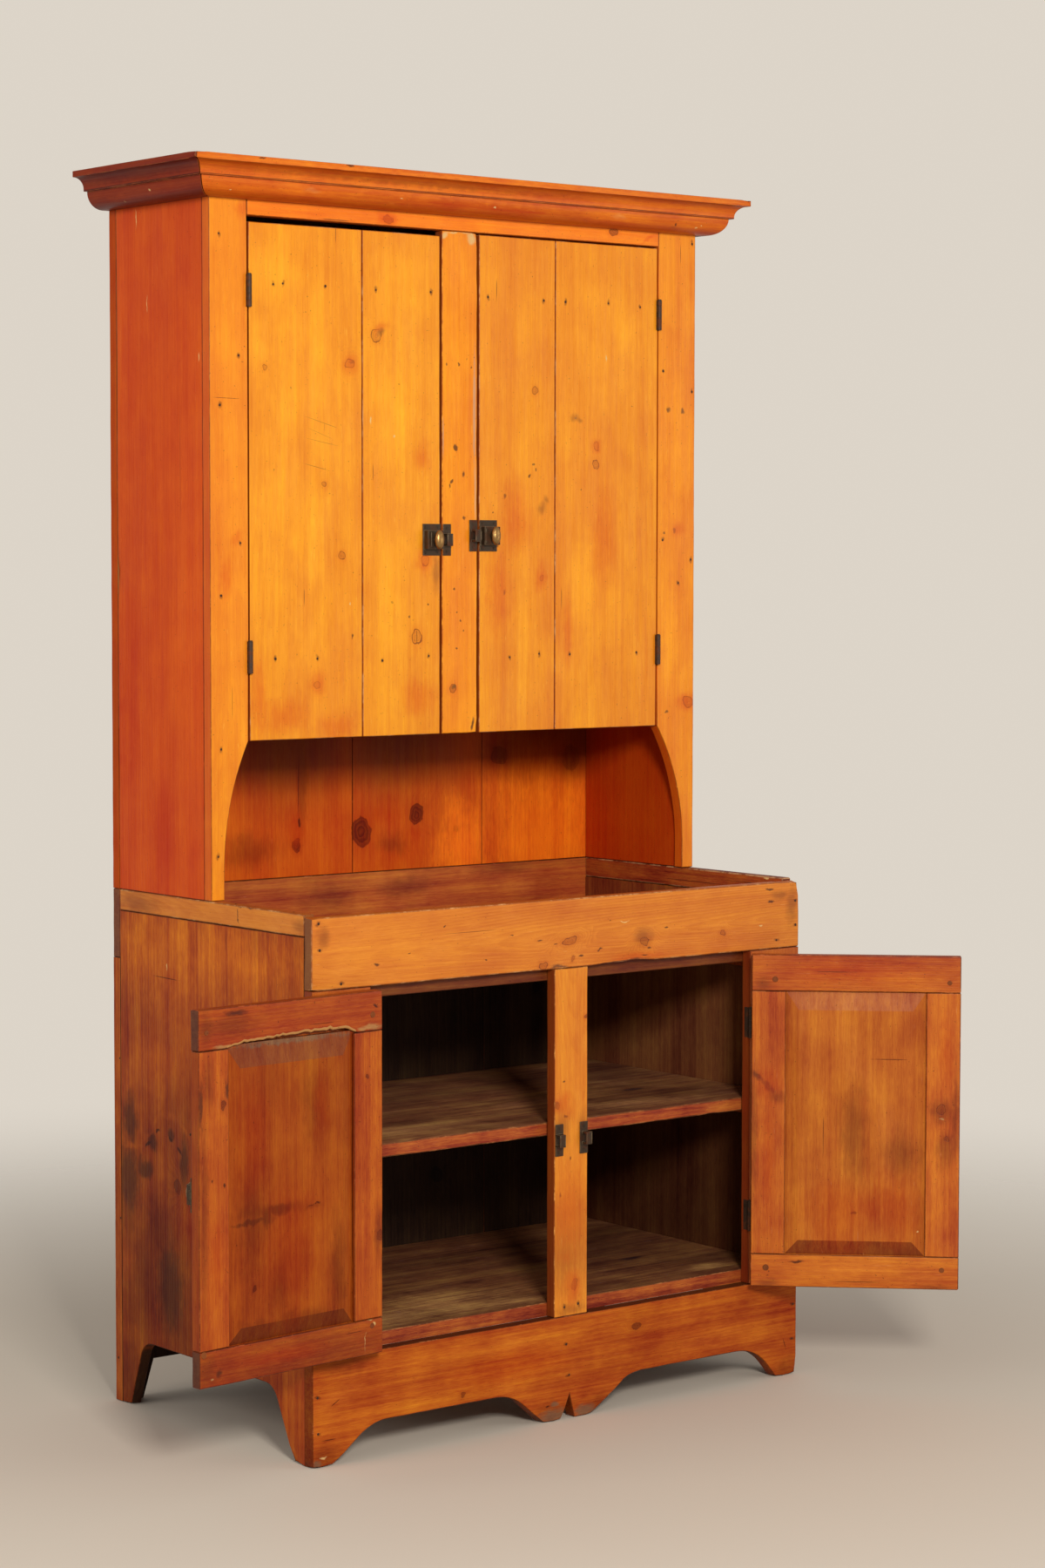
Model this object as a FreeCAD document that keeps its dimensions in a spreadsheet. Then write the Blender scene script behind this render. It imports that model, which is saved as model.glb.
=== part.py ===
import FreeCAD, Part
import math
import os
import Sketcher

# A stepback dry sink cupboard: a lower case with an open well along its top and two panelled doors,
# and a shallower upper case with two batten doors that stands on the rims of the well, at the back.
# X runs to the right along the front, Y back into the case and Z up. The origin is the front left
# corner of the lower case on the floor. The upper doors are shut and the lower doors stand open.

SIZES = {
    # the two cases, in millimetres
    "case_width": 992,
    "case_depth": 553,
    "case_height": 834,
    "total_height": 1972,
    "board": 20,
    # lower front: stiles, doorways and the boards of the well
    "lower_stile": 109,
    "left_doorway": 358,
    "lower_mid_stile": 68,
    "apron_height": 165,
    "well_front_height": 110,
    "well_front_drop": 4,
    "well_back_height": 111,
    "well_depth": 112,
    "rim_height": 34,
    # inside the lower case
    "shelf_rise": 309,
    "shelf_board": 22,
    "shelf_setback": 24,
    "cleat": 20,
    "cleat_setback": 45,
    "back_lift": 62,
    "back_leg": 40,
    "back_leg_slope": 20,
    # scalloped apron
    "left_foot": 39,
    "right_foot": 46,
    "apron_arch": 55,
    "left_foot_slope": 71,
    "right_foot_slope": 47,
    "drop_left": 446,
    "drop_left_slope": 65,
    "drop_right": 543,
    "drop_right_slope": 86,
    "notch_left": 483,
    "notch_width": 26,
    "notch_peak": 16,
    "notch_height": 38,
    "apron_radius": 90,
    "drop_radius": 46,
    # arched feet of the sides
    "side_front_foot": 50,
    "side_back_foot": 45,
    "side_arch": 109,
    "side_front_slope": 54,
    "side_back_slope": 40,
    "side_arch_radius": 34,
    # upper front
    "upper_setback": 267,
    "upper_left_stile": 70,
    "upper_left_doorway": 378,
    "upper_mid_stile": 72,
    "upper_right_stile": 83,
    "alcove_height": 246,
    "top_rail": 62,
    "stile_foot": 25,
    "foot_straight": 46,
    "alcove_shelf_board": 22,
    "inner_shelf_setback": 50,
    "first_shelf_rise": 282,
    "second_shelf_rise": 266,
    "upper_back_seam": 184,
    "upper_back_board": 277,
    # crown moulding, measured out from the case and down from the top
    "crown_reach": 67,
    "crown_fascia": 10,
    "crown_lip": 2,
    "crown_cove": 18,
    "crown_step": 6.5,
    "crown_fillet": 3,
    "crown_ovolo": 27.5,
    "crown_mitre_gap": 1.2,
    # upper doors
    "upper_door_board": 19,
    "upper_left_wide": 216,
    "upper_right_wide": 222,
    "seam": 0.6,
    "left_door_drop": 9,
    "batten_board": 20,
    "batten_height": 64,
    "batten_inset": 32,
    # lower doors
    "lower_door_board": 19,
    "door_stile": 56,
    "door_top_rail": 60,
    "door_bottom_rail": 54,
    "groove": 7,
    "groove_depth": 10,
    "groove_setback": 6,
    "panel_slack": 0.4,
    "panel_rise": 5,
    "bevel_side": 21,
    "bevel_top": 31,
    "bevel_bottom": 24,
    "left_door_open": 175,
    "right_door_open": 136,
    # running gaps round the doors
    "hinge_gap": 3,
    "latch_gap": 4,
    "door_gap": 2.5,
    # butt hinges
    "hinge_height": 50,
    "knuckle": 4,
    "pin": 1.6,
    "pin_slack": 0.05,
    "pin_head": 1.5,
    "pin_head_radius": 3.2,
    "knuckle_slack": 0.2,
    "leaf": 2,
    "leaf_setback": 0.3,
    "leaf_width": 14,
    # each hinge's middle, from the foot or the head of its doorway
    "upper_low_hinge": 130,
    "upper_high_hinge": 115,
    "lower_low_hinge": 115,
    "lower_high_hinge": 119,
    # cupboard turn latches
    "plate": 2,
    "plate_width": 36,
    "plate_height": 51,
    "latch_width": 32,
    "latch_height": 30,
    "latch_depth": 13,
    "latch_wall": 3,
    "latch_front": 2.5,
    "spindle": 3,
    "spindle_slack": 0.06,
    "knob_neck": 4,
    "knob_tall": 15,
    "knob_wide": 8.5,
    "knob_deep": 6,
    "knob_seat": 1,
    "crank": 8,
    "crank_pin": 1.5,
    "crank_plate": 2,
    "bolt": 4,
    "bolt_half_width": 7,
    "bolt_rim": 1.4,
    "tongue": 12,
    "tongue_past_edge": 0.2,
    "slide_slack": 0.35,
    "keeper_width": 16,
    "keeper_margin": 1,
    "bridge_width": 12,
    "bridge_height": 20,
    # each spindle, from the foot of its doorway
    "upper_left_latch": 314,
    "upper_right_latch": 321,
    "lower_latch": 283,
}
KNUCKLES = 5
CRANK_START = 45
CUT_PAST = 1

doc = FreeCAD.newDocument("DrySinkCabinet")
sheet = doc.addObject("Spreadsheet::Sheet", "Sizes")
for row, (alias, number) in enumerate(SIZES.items(), 1):
    sheet.set(f"A{row}", alias)
    sheet.set(f"B{row}", str(number))
    sheet.setAlias(f"B{row}", alias)
doc.recompute()


# ---- Named sizes that add up: the sheet's expression for a length, with its present value ----


class Size:
    """A length: its expression and its present value in millimetres."""

    def __init__(self, text, value):
        self.text = text
        self.value = value

    def __add__(self, other):
        other = as_size(other)
        return Size(f"({self.text} + {other.text})", self.value + other.value)

    def __sub__(self, other):
        other = as_size(other)
        return Size(f"({self.text} - {other.text})", self.value - other.value)

    def __mul__(self, number):
        return Size(f"({self.text} * {number})", self.value * number)

    def __truediv__(self, number):
        return Size(f"({self.text} / {number})", self.value / number)

    def __neg__(self):
        return Size(f"(0 - {self.text})", -self.value)


def as_size(thing):
    return thing if isinstance(thing, Size) else Size(str(thing), thing)


def bind(thing, path, size):
    thing.setExpression(path, as_size(size).text)


class Named:
    """Gives each row of the sheet as a Size under its own word."""

    def __getattr__(self, alias):
        return Size(f"Sizes.{alias}", SIZES[alias])


s = Named()


# ---- Ways of making a piece ----


def block(corner, size):
    """A sawn board from its low corner and its three sizes."""
    box = doc.addObject("Part::Box", "block")
    for side, length in zip(("Length", "Width", "Height"), size):
        bind(box, side, length)
    move(box, corner)
    return box


def rod(radius, length, foot=(0, 0, 0), along="Z"):
    """A round bar from the middle of its foot."""
    bar = doc.addObject("Part::Cylinder", "rod")
    bind(bar, "Radius", radius)
    bind(bar, "Height", length)
    if along == "-Y":
        bar.Placement.Rotation = FreeCAD.Rotation(FreeCAD.Vector(1, 0, 0), 90)
    move(bar, foot)
    return bar


def move(thing, place):
    for axis, length in zip("xyz", place):
        bind(thing, f"Placement.Base.{axis}", length)


def fused(*pieces):
    fuse = doc.addObject("Part::MultiFuse", "fused")
    fuse.Shapes = list(pieces)
    return fuse


def group(*pieces):
    compound = doc.addObject("Part::Compound", "group")
    compound.Links = list(pieces)
    return compound


def cut(piece, tool):
    remainder = doc.addObject("Part::Cut", "cut")
    remainder.Base = piece
    remainder.Tool = tool
    return remainder


def copy_of(thing, place, upside_down=False):
    """The same piece again at another place; upside down is half a turn about Y."""
    link = doc.addObject("App::Link", "copy")
    link.LinkedObject = thing
    if upside_down:
        link.Placement.Rotation = FreeCAD.Rotation(FreeCAD.Vector(0, 1, 0), 180)
    move(link, place)
    return link


def arc(start, end, level):
    """A sketch arc between two corners, its centre level with one of them, and whether the arc,
    which a sketch keeps counter-clockwise, runs from the end to the start."""
    (x0, y0), (x1, y1) = (start, end) if level == "start" else (end, start)
    middle = (x1**2 - x0**2 + (y1 - y0) ** 2) / (2 * (x1 - x0))
    first, last = (math.atan2(y - y0, x - middle) for x, y in (start, end))
    backwards = (last - first) % (2 * math.pi) > math.pi
    if backwards:
        first, last = last, first
    centre = FreeCAD.Vector(middle, y0, 0)
    circle = Part.Circle(centre, FreeCAD.Vector(0, 0, 1), abs(x0 - middle))
    return Part.ArcOfCircle(circle, first, last), backwards


def draw(body, plane, path):
    """A closed sketch on one of the body's planes. A corner is two sizes; a third entry makes the
    edge that leaves it an arc, with its centre level with the arc's start or end."""
    sketch = body.newObject("Sketcher::SketchObject", "outline")
    support = next(p for p in body.Origin.OriginFeatures if p.Role == plane)
    sketch.AttachmentSupport = [(support, "")]
    sketch.MapMode = "FlatFace"
    corners = [tuple(as_size(length).value for length in corner[:2]) for corner in path]
    ends = []
    for index, corner in enumerate(path):
        here = corners[index]
        there = corners[(index + 1) % len(path)]
        if len(corner) == 3:
            edge, backwards = arc(here, there, corner[2])
            ends.append((2, 1) if backwards else (1, 2))
        else:
            edge = Part.LineSegment(FreeCAD.Vector(*here, 0), FreeCAD.Vector(*there, 0))
            ends.append((1, 2))
        sketch.addGeometry(edge)
    for index, corner in enumerate(path):
        after = (index + 1) % len(path)
        start, end = ends[index]
        sketch.addConstraint(
            Sketcher.Constraint("Coincident", index, end, after, ends[after][0])
        )
        for kind, length in zip(("DistanceX", "DistanceY"), corner[:2]):
            number = sketch.addConstraint(
                Sketcher.Constraint(kind, -1, 1, index, start, float(as_size(length).value))
            )
            bind(sketch, f"Constraints[{number}]", length)
        if len(corner) == 3:
            level_end = start if corner[2] == "start" else end
            sketch.addConstraint(
                Sketcher.Constraint("Horizontal", index, 3, index, level_end)
            )
    return sketch


def pad(body, sketch, length, backwards=False):
    feature = body.newObject("PartDesign::Pad", "pad")
    feature.Profile = sketch
    bind(feature, "Length", length)
    feature.Reversed = backwards
    return feature


def front_board(path, front, thickness):
    """A board with an outline seen from the front; the XZ plane's pad runs towards -Y."""
    body = doc.addObject("PartDesign::Body", "shaped_board")
    pad(body, draw(body, "XZ_Plane", path), thickness, backwards=True)
    bind(body, "Placement.Base.y", front)
    return body


def side_board(path, left, thickness):
    """A board with an outline seen from the side."""
    body = doc.addObject("PartDesign::Body", "shaped_board")
    pad(body, draw(body, "YZ_Plane", path), thickness)
    bind(body, "Placement.Base.x", left)
    return body


def round_corners(body, across, corners, radius):
    """Rounds the edges of a shaped board that cross its outline at the given corners."""
    doc.recompute()
    square = body.Tip
    chosen = []
    for index, edge in enumerate(square.Shape.Edges, 1):
        for first, second in corners:
            misses = [
                abs((end.X if across == "y" else end.Y) - first.value) + abs(end.Z - second.value)
                for end in edge.Vertexes
            ]
            if max(misses) < 0.01:
                chosen.append(f"Edge{index}")
    fillet = body.newObject("PartDesign::Fillet", "fillet")
    fillet.Base = (square, chosen)
    bind(fillet, "Radius", radius)
    body.Tip = fillet


NODES = []


def name(label, piece):
    """Gives a finished sub-part its name, and marks it for its file."""
    piece.Label = label
    NODES.append(piece)
    return piece


# ---- Places that several pieces share ----

inner_right = s.case_width - s.board
back = s.case_depth - s.board
front_top = s.case_height - s.well_front_drop
doorway_sill = s.apron_height
doorway_head = front_top - s.well_front_height
lower_mid = s.lower_stile + s.left_doorway
right_doorway = lower_mid + s.lower_mid_stile
lower_right_stile = s.case_width - s.lower_stile
well_floor = s.case_height - s.well_depth
upper_inside = s.upper_setback + s.board
upper_mid = s.upper_left_stile + s.upper_left_doorway
upper_right_doorway = upper_mid + s.upper_mid_stile
upper_right_stile = s.case_width - s.upper_right_stile
frame_top = s.total_height - s.board
alcove_top = s.case_height + s.alcove_height
doorway_top = frame_top - s.top_rail
shelf_top = s.apron_height + s.shelf_rise
first_shelf = alcove_top + s.first_shelf_rise
second_shelf = first_shelf + s.second_shelf_rise


# ---- Lower case ----


def lower_side(label, left):
    """A side board with an arch cut out between its two feet."""
    front = s.side_front_foot
    rear = s.case_depth - s.side_back_foot
    arch_front = front + s.side_front_slope
    arch_rear = rear - s.side_back_slope
    body = side_board(
        [
            (s.board, 0),
            (front, 0),
            (arch_front, s.side_arch),
            (arch_rear, s.side_arch),
            (rear, 0),
            (back, 0),
            (back, s.case_height - s.rim_height),
            (s.board, s.case_height - s.rim_height),
        ],
        left,
        s.board,
    )
    round_corners(
        body, "x", [(arch_front, s.side_arch), (arch_rear, s.side_arch)], s.side_arch_radius
    )
    name(label, body)


def rim_strip(label, left):
    name(
        label,
        block(
            (left, s.board, s.case_height - s.rim_height),
            (s.board, back - s.board, s.rim_height),
        ),
    )


for side, left in (("left", as_size(0)), ("right", inner_right)):
    lower_side(f"lower_side_{side}", left)
    rim_strip(f"rim_strip_{side}", left)

name(
    "well_front_board",
    block((0, 0, doorway_head), (s.case_width, s.board, s.well_front_height)),
)
name(
    "well_back_board",
    block(
        (0, back, s.case_height - s.well_back_height),
        (s.case_width, s.board, s.well_back_height),
    ),
)
name(
    "well_floor",
    block(
        (s.board, s.board, well_floor - s.shelf_board),
        (inner_right - s.board, back - s.board, s.shelf_board),
    ),
)

# Hinge places, by the pin's axis: half the gap from a stile's edge, a knuckle's radius before it.
upper_pins = {
    "left": s.upper_left_stile + s.hinge_gap / 2,
    "right": upper_right_stile - s.hinge_gap / 2,
}
lower_pins = {
    "left": s.lower_stile + s.hinge_gap / 2,
    "right": lower_right_stile - s.hinge_gap / 2,
}
upper_pin_front = s.upper_setback - s.knuckle
lower_pin_front = -s.knuckle
upper_hinges = (alcove_top + s.upper_low_hinge, doorway_top - s.upper_high_hinge)
lower_hinges = (doorway_sill + s.lower_low_hinge, doorway_head - s.lower_high_hinge)
upper_left_latch = alcove_top + s.upper_left_latch
upper_right_latch = alcove_top + s.upper_right_latch
lower_latch = doorway_sill + s.lower_latch


def mortises(edge, direction, front, heights):
    """The shallow beds that hinge leaves lie in, cut into an edge that faces the given way."""
    low = edge if direction < 0 else edge - s.leaf
    return group(
        *(
            block(
                (low, front, height - s.hinge_height / 2),
                (s.leaf, s.leaf_width, s.hinge_height),
            )
            for height in heights
        )
    )


stile_height = doorway_head - doorway_sill
for label, left, edge, direction in (
    ("lower_stile_left", as_size(0), s.lower_stile, 1),
    ("lower_stile_right", lower_right_stile, lower_right_stile, -1),
):
    stile = block((left, 0, doorway_sill), (s.lower_stile, s.board, stile_height))
    name(label, cut(stile, mortises(edge, direction, as_size(0), lower_hinges)))
name(
    "lower_stile_centre",
    block((lower_mid, 0, doorway_sill), (s.lower_mid_stile, s.board, stile_height)),
)


def apron():
    """The full width board at the floor: two feet, two flat arches and a notched middle drop."""
    crest = s.apron_arch
    left_rise = s.left_foot + s.left_foot_slope
    left_fall = s.drop_left - s.drop_left_slope
    right_rise = s.drop_right + s.drop_right_slope
    right_foot = s.case_width - s.right_foot
    right_fall = right_foot - s.right_foot_slope
    notch_right = s.notch_left + s.notch_width
    body = front_board(
        [
            (0, 0),
            (s.left_foot, 0),
            (left_rise, crest),
            (left_fall, crest),
            (s.drop_left, 0),
            (s.notch_left, 0),
            (s.notch_left + s.notch_peak, s.notch_height),
            (notch_right, 0),
            (s.drop_right, 0),
            (right_rise, crest),
            (right_fall, crest),
            (right_foot, 0),
            (s.case_width, 0),
            (s.case_width, s.apron_height),
            (0, s.apron_height),
        ],
        as_size(0),
        s.board,
    )
    crests = [(x, crest) for x in (left_rise, left_fall, right_rise, right_fall)]
    round_corners(body, "y", crests, s.apron_radius)
    round_corners(body, "y", [(s.drop_right, as_size(0))], s.drop_radius)
    name("apron", body)


apron()

inner_width = inner_right - s.board
name(
    "lower_shelf",
    block(
        (s.board, s.shelf_setback, shelf_top - s.shelf_board),
        (inner_width, back - s.shelf_setback, s.shelf_board),
    ),
)
name(
    "lower_floor",
    block(
        (s.board, s.board, s.apron_height),
        (inner_width, back - s.board, s.shelf_board),
    ),
)


def cleats(label, tops, front):
    """Square battens nailed to the sides under each shelf."""
    strips = []
    for top in tops:
        for left in (s.board, inner_right - s.cleat):
            strips.append(block((left, front, top - s.cleat), (s.cleat, back - front, s.cleat)))
    name(label, group(*strips))


cleats(
    "lower_cleats",
    (s.apron_height, shelf_top - s.shelf_board, well_floor - s.shelf_board),
    s.cleat_setback,
)


def lower_back():
    """Four upright boards under the well's back board; the outer two have a leg to the floor."""
    quarter = s.case_width / 4
    head = s.case_height - s.well_back_height
    inner = s.back_leg + s.back_leg_slope
    first = [
        (0, 0),
        (s.back_leg, 0),
        (inner, s.back_lift),
        (quarter, s.back_lift),
        (quarter, head),
        (0, head),
    ]
    last = [
        (s.case_width, 0),
        (s.case_width - s.back_leg, 0),
        (s.case_width - inner, s.back_lift),
        (s.case_width - quarter, s.back_lift),
        (s.case_width - quarter, head),
        (s.case_width, head),
    ]
    middle = [
        block((left, back, s.back_lift), (quarter, s.board, head - s.back_lift))
        for left in (quarter, quarter + quarter)
    ]
    legs = [front_board(outline, back, s.board) for outline in (first, last)]
    name("lower_back_boards", group(legs[0], *middle, legs[1]))


lower_back()


# ---- Upper case ----

for side, left in (("left", as_size(0)), ("right", inner_right)):
    name(
        f"upper_side_{side}",
        block(
            (left, upper_inside, s.case_height),
            (s.board, back - upper_inside, frame_top - s.case_height),
        ),
    )


def upper_stile(label, outer, width, direction, hinge_edge):
    """A front stile that curves in above the alcove to a narrow foot."""
    curve_foot = s.case_height + s.foot_straight
    inner = outer + width if direction > 0 else outer - width
    foot = outer + s.stile_foot if direction > 0 else outer - s.stile_foot
    stile = front_board(
        [
            (outer, s.case_height),
            (foot, s.case_height),
            (foot, curve_foot, "start"),
            (inner, alcove_top),
            (inner, frame_top),
            (outer, frame_top),
        ],
        s.upper_setback,
        s.board,
    )
    name(label, cut(stile, mortises(hinge_edge, direction, s.upper_setback, upper_hinges)))


upper_stile("upper_stile_left", as_size(0), s.upper_left_stile, 1, s.upper_left_stile)
upper_stile("upper_stile_right", s.case_width, s.upper_right_stile, -1, upper_right_stile)
name(
    "upper_stile_centre",
    block(
        (upper_mid, s.upper_setback, alcove_top),
        (s.upper_mid_stile, s.board, doorway_top - alcove_top),
    ),
)
name(
    "upper_top_rail",
    block(
        (s.upper_left_stile, s.upper_setback, doorway_top),
        (upper_right_stile - s.upper_left_stile, s.board, frame_top - doorway_top),
    ),
)
name(
    "upper_top_board",
    block(
        (0, s.upper_setback, frame_top),
        (s.case_width, s.case_depth - s.upper_setback, s.board),
    ),
)
name(
    "alcove_shelf",
    block(
        (s.board, upper_inside, alcove_top),
        (inner_width, back - upper_inside, s.alcove_shelf_board),
    ),
)
inner_shelf_front = s.upper_setback + s.inner_shelf_setback
name(
    "upper_shelves",
    group(
        *(
            block(
                (s.board, inner_shelf_front, top - s.board),
                (inner_width, back - inner_shelf_front, s.board),
            )
            for top in (first_shelf, second_shelf)
        )
    ),
)
cleats("upper_cleats", (first_shelf - s.board, second_shelf - s.board), inner_shelf_front)


def upper_back():
    """Upright boards behind the upper case, standing on the well's back board."""
    seams = [as_size(0)]
    for place in range(3):
        seams.append(s.upper_back_seam + s.upper_back_board * place)
    seams.append(s.case_width)
    boards = [
        block((left, back, s.case_height), (right - left, s.board, frame_top - s.case_height))
        for left, right in zip(seams, seams[1:])
    ]
    name("upper_back_boards", group(*boards))


upper_back()


# ---- Crown moulding ----


def crown_outline(out, reach_sign):
    """The moulding's section: fascia, hollow, step and quarter round, out from the case's face."""
    top = s.total_height
    under_fascia = top - s.crown_fascia
    lip = s.crown_reach - s.crown_lip
    cove_foot = lip - s.crown_cove
    shoulder = cove_foot - s.crown_step
    ovolo_top = under_fascia - s.crown_cove - s.crown_fillet
    ovolo_foot = shoulder - s.crown_ovolo
    ovolo_bottom = ovolo_top - s.crown_ovolo

    def at(reach, height, *bend):
        place = out + reach if reach_sign > 0 else out - reach
        return (place, height, *bend)

    return [
        at(as_size(0), top),
        at(s.crown_reach, top),
        at(s.crown_reach, under_fascia),
        at(lip, under_fascia, "end"),
        at(cove_foot, under_fascia - s.crown_cove),
        at(cove_foot, ovolo_top),
        at(shoulder, ovolo_top, "start"),
        at(ovolo_foot, ovolo_bottom),
        at(as_size(0), ovolo_bottom),
    ]


def crown_front():
    """The front length, as long as the case and its two reaches, with both ends mitred."""
    body = doc.addObject("PartDesign::Body", "crown_length")
    outline = draw(body, "YZ_Plane", crown_outline(s.upper_setback, -1))
    pad(body, outline, s.case_width + s.crown_reach * 2)
    bind(body, "Placement.Base.x", -s.crown_reach)
    return body


def crown_return():
    """The left return, from the front of the moulding to the back of the case."""
    body = doc.addObject("PartDesign::Body", "crown_return")
    outline = draw(body, "XZ_Plane", crown_outline(as_size(0), -1))
    front = s.upper_setback - s.crown_reach
    pad(body, outline, s.case_depth - front, backwards=True)
    bind(body, "Placement.Base.y", front)
    return body


def prism(path):
    """An upright prism through the whole moulding, from its outline seen from above."""
    body = doc.addObject("PartDesign::Body", "prism")
    pad(body, draw(body, "XY_Plane", path), s.total_height * 2)
    bind(body, "Placement.Base.z", -s.total_height / 2)
    return body


def crown():
    """Two mitred corners: each length loses what lies past the diagonal, less half the joint."""
    joint = s.crown_mitre_gap / 2 * 2**0.5
    far = s.crown_reach * 2
    front = s.upper_setback
    right = s.case_width
    behind = front + joint
    past_left = prism(
        [(0, front - joint), (0, behind), (-far, behind), (-far, front - far - joint)]
    )
    past_right = prism(
        [
            (right, front - joint),
            (right + far, front - far - joint),
            (right + far, behind),
            (right, behind),
        ]
    )
    ahead_left = prism([(0, behind), (-far, behind - far), (0, behind - far)])
    name("crown_front", cut(crown_front(), group(past_left, past_right)))
    left = cut(crown_return(), ahead_left)
    mirrored = doc.addObject("Part::Mirroring", "mirrored")
    mirrored.Source = left
    mirrored.Normal = FreeCAD.Vector(1, 0, 0)
    bind(mirrored, "Base.x", s.case_width / 2)
    name("crown_returns", group(left, mirrored))


crown()


# ---- Butt hinges: masters about the pin's axis, foot of the barrel at the origin ----

knuckle_pitch = s.hinge_height / KNUCKLES


def hinge_leaf(direction, own_knuckles):
    """One leaf: a plate let into the wood, and its knuckles, each joined by a neck."""
    near = s.hinge_gap / 2
    low = near if direction > 0 else -near - s.leaf
    parts = [
        block(
            (low, s.knuckle + s.leaf_setback, 0),
            (s.leaf, s.leaf_width - s.leaf_setback, s.hinge_height),
        )
    ]
    for place in own_knuckles:
        foot = knuckle_pitch * place + s.knuckle_slack / 2
        tall = knuckle_pitch - s.knuckle_slack
        parts.append(rod(s.knuckle, tall, (0, 0, foot)))
        parts.append(block((low, 0, foot), (s.leaf, s.knuckle + s.leaf, tall)))
    return cut(fused(*parts), rod(s.pin + s.pin_slack, s.hinge_height))


case_leaf = hinge_leaf(-1, range(0, KNUCKLES, 2))
door_leaf = hinge_leaf(1, range(1, KNUCKLES, 2))
hinge_pin = fused(
    rod(s.pin, s.hinge_height),
    rod(s.pin_head_radius, s.pin_head, (0, 0, s.hinge_height)),
)

case_leaves = []
pins = []
for places, front, heights in (
    (upper_pins, upper_pin_front, upper_hinges),
    (lower_pins, lower_pin_front, lower_hinges),
):
    for side, across in places.items():
        for height in heights:
            foot = height - s.hinge_height / 2
            turned = side == "right"
            start = foot + s.hinge_height if turned else foot
            case_leaves.append(copy_of(case_leaf, (across, front, start), turned))
            pins.append(copy_of(hinge_pin, (across, front, foot)))
name("hinge_case_leaves", group(*case_leaves))
name("hinge_pins", group(*pins))


# ---- Turn latches: masters about the spindle, door's face at Y 0, bolt side towards +X ----

half_latch = s.latch_width / 2
cavity_half = half_latch - s.latch_wall
cavity_tall = s.latch_height - s.latch_wall * 2
bolt_back = s.plate + s.slide_slack
crank_back = bolt_back + s.bolt + s.slide_slack
turned_back = s.crank * math.sin(math.radians(CRANK_START))


def latch_case():
    """A plate with a raised box: hollow inside, bored for the spindle, open at the bolt's edge."""
    plate = block(
        (-s.plate_width / 2, -s.plate, -s.plate_height / 2),
        (s.plate_width, s.plate, s.plate_height),
    )
    box = block(
        (-half_latch, -s.latch_depth, -s.latch_height / 2),
        (s.latch_width, s.latch_depth, s.latch_height),
    )
    hollow = block(
        (-cavity_half, -s.latch_depth + s.latch_front, -cavity_tall / 2),
        (cavity_half * 2, s.latch_depth - s.latch_front - s.plate, cavity_tall),
    )
    mouth = block(
        (cavity_half - CUT_PAST, -bolt_back - s.bolt - s.slide_slack, -s.tongue / 2 - s.slide_slack),
        (s.latch_wall + CUT_PAST * 2, s.bolt + s.slide_slack * 2, s.tongue + s.slide_slack * 2),
    )
    bore = rod(s.spindle + s.spindle_slack, s.latch_depth, (0, -s.plate - CUT_PAST, 0), "-Y")
    return cut(fused(plate, box), fused(hollow, mouth, bore))


def latch_bolt():
    """The flat bolt, drawn back: a block with an upright slot for the crank pin, and its tongue."""
    slot_half = s.crank_pin + s.slide_slack
    slot_low = turned_back - slot_half
    top = s.crank + slot_half + s.bolt_rim
    reach = s.plate_width / 2 + s.tongue_past_edge + turned_back
    body = block(
        (-s.bolt_half_width - turned_back, -bolt_back - s.bolt, -s.tongue / 2),
        (s.bolt_half_width * 2, s.bolt, top + s.tongue / 2),
    )
    tongue = block(
        (-turned_back, -bolt_back - s.bolt, -s.tongue / 2), (reach, s.bolt, s.tongue)
    )
    slot = block(
        (-turned_back - slot_half, -bolt_back - s.bolt - CUT_PAST, slot_low),
        (slot_half * 2, s.bolt + CUT_PAST * 2, s.crank + slot_half - slot_low),
    )
    return cut(fused(body, tongue), slot)


def latch_knob():
    """An oval knob on a spindle, with a crank plate and pin behind the case's front."""
    neck_end = s.latch_depth + s.knob_neck
    spindle = rod(s.spindle, neck_end + s.knob_deep - crank_back, (0, -crank_back, 0), "-Y")
    crank = block(
        (-s.crank_pin, -crank_back - s.crank_plate, 0),
        (s.crank_pin * 2, s.crank_plate, s.crank),
    )
    end = rod(s.crank_pin, s.crank_plate, (0, -crank_back, s.crank), "-Y")
    pin = rod(s.crank_pin, s.bolt + s.slide_slack, (0, -bolt_back, s.crank), "-Y")
    arm = fused(crank, end, pin)
    arm.Placement.Rotation = FreeCAD.Rotation(FreeCAD.Vector(0, 1, 0), -CRANK_START)
    oval = doc.addObject("Part::Ellipsoid", "oval")
    bind(oval, "Radius1", s.knob_tall)
    bind(oval, "Radius2", s.knob_wide)
    bind(oval, "Radius3", s.knob_deep)
    move(oval, (0, -neck_end - s.knob_deep + s.knob_seat, 0))
    return fused(spindle, arm, oval)


def keeper():
    """A plate with a bridge that the tongue slides under; its near edge at X 0."""
    plate = block(
        (0, -s.plate, -s.plate_height / 2), (s.keeper_width, s.plate, s.plate_height)
    )
    bridge = block(
        (0, -s.latch_depth, -s.bridge_height / 2),
        (s.bridge_width, s.latch_depth, s.bridge_height),
    )
    inside = s.tongue + s.slide_slack * 4
    under = block(
        (-CUT_PAST, -s.latch_depth + s.latch_front, -inside / 2),
        (s.bridge_width + CUT_PAST * 2, s.latch_depth - s.latch_front - s.plate, inside),
    )
    return cut(fused(plate, bridge), under)


latch_case_master = latch_case()
latch_bolt_master = latch_bolt()
latch_knob_master = latch_knob()
keeper_master = keeper()

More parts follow.
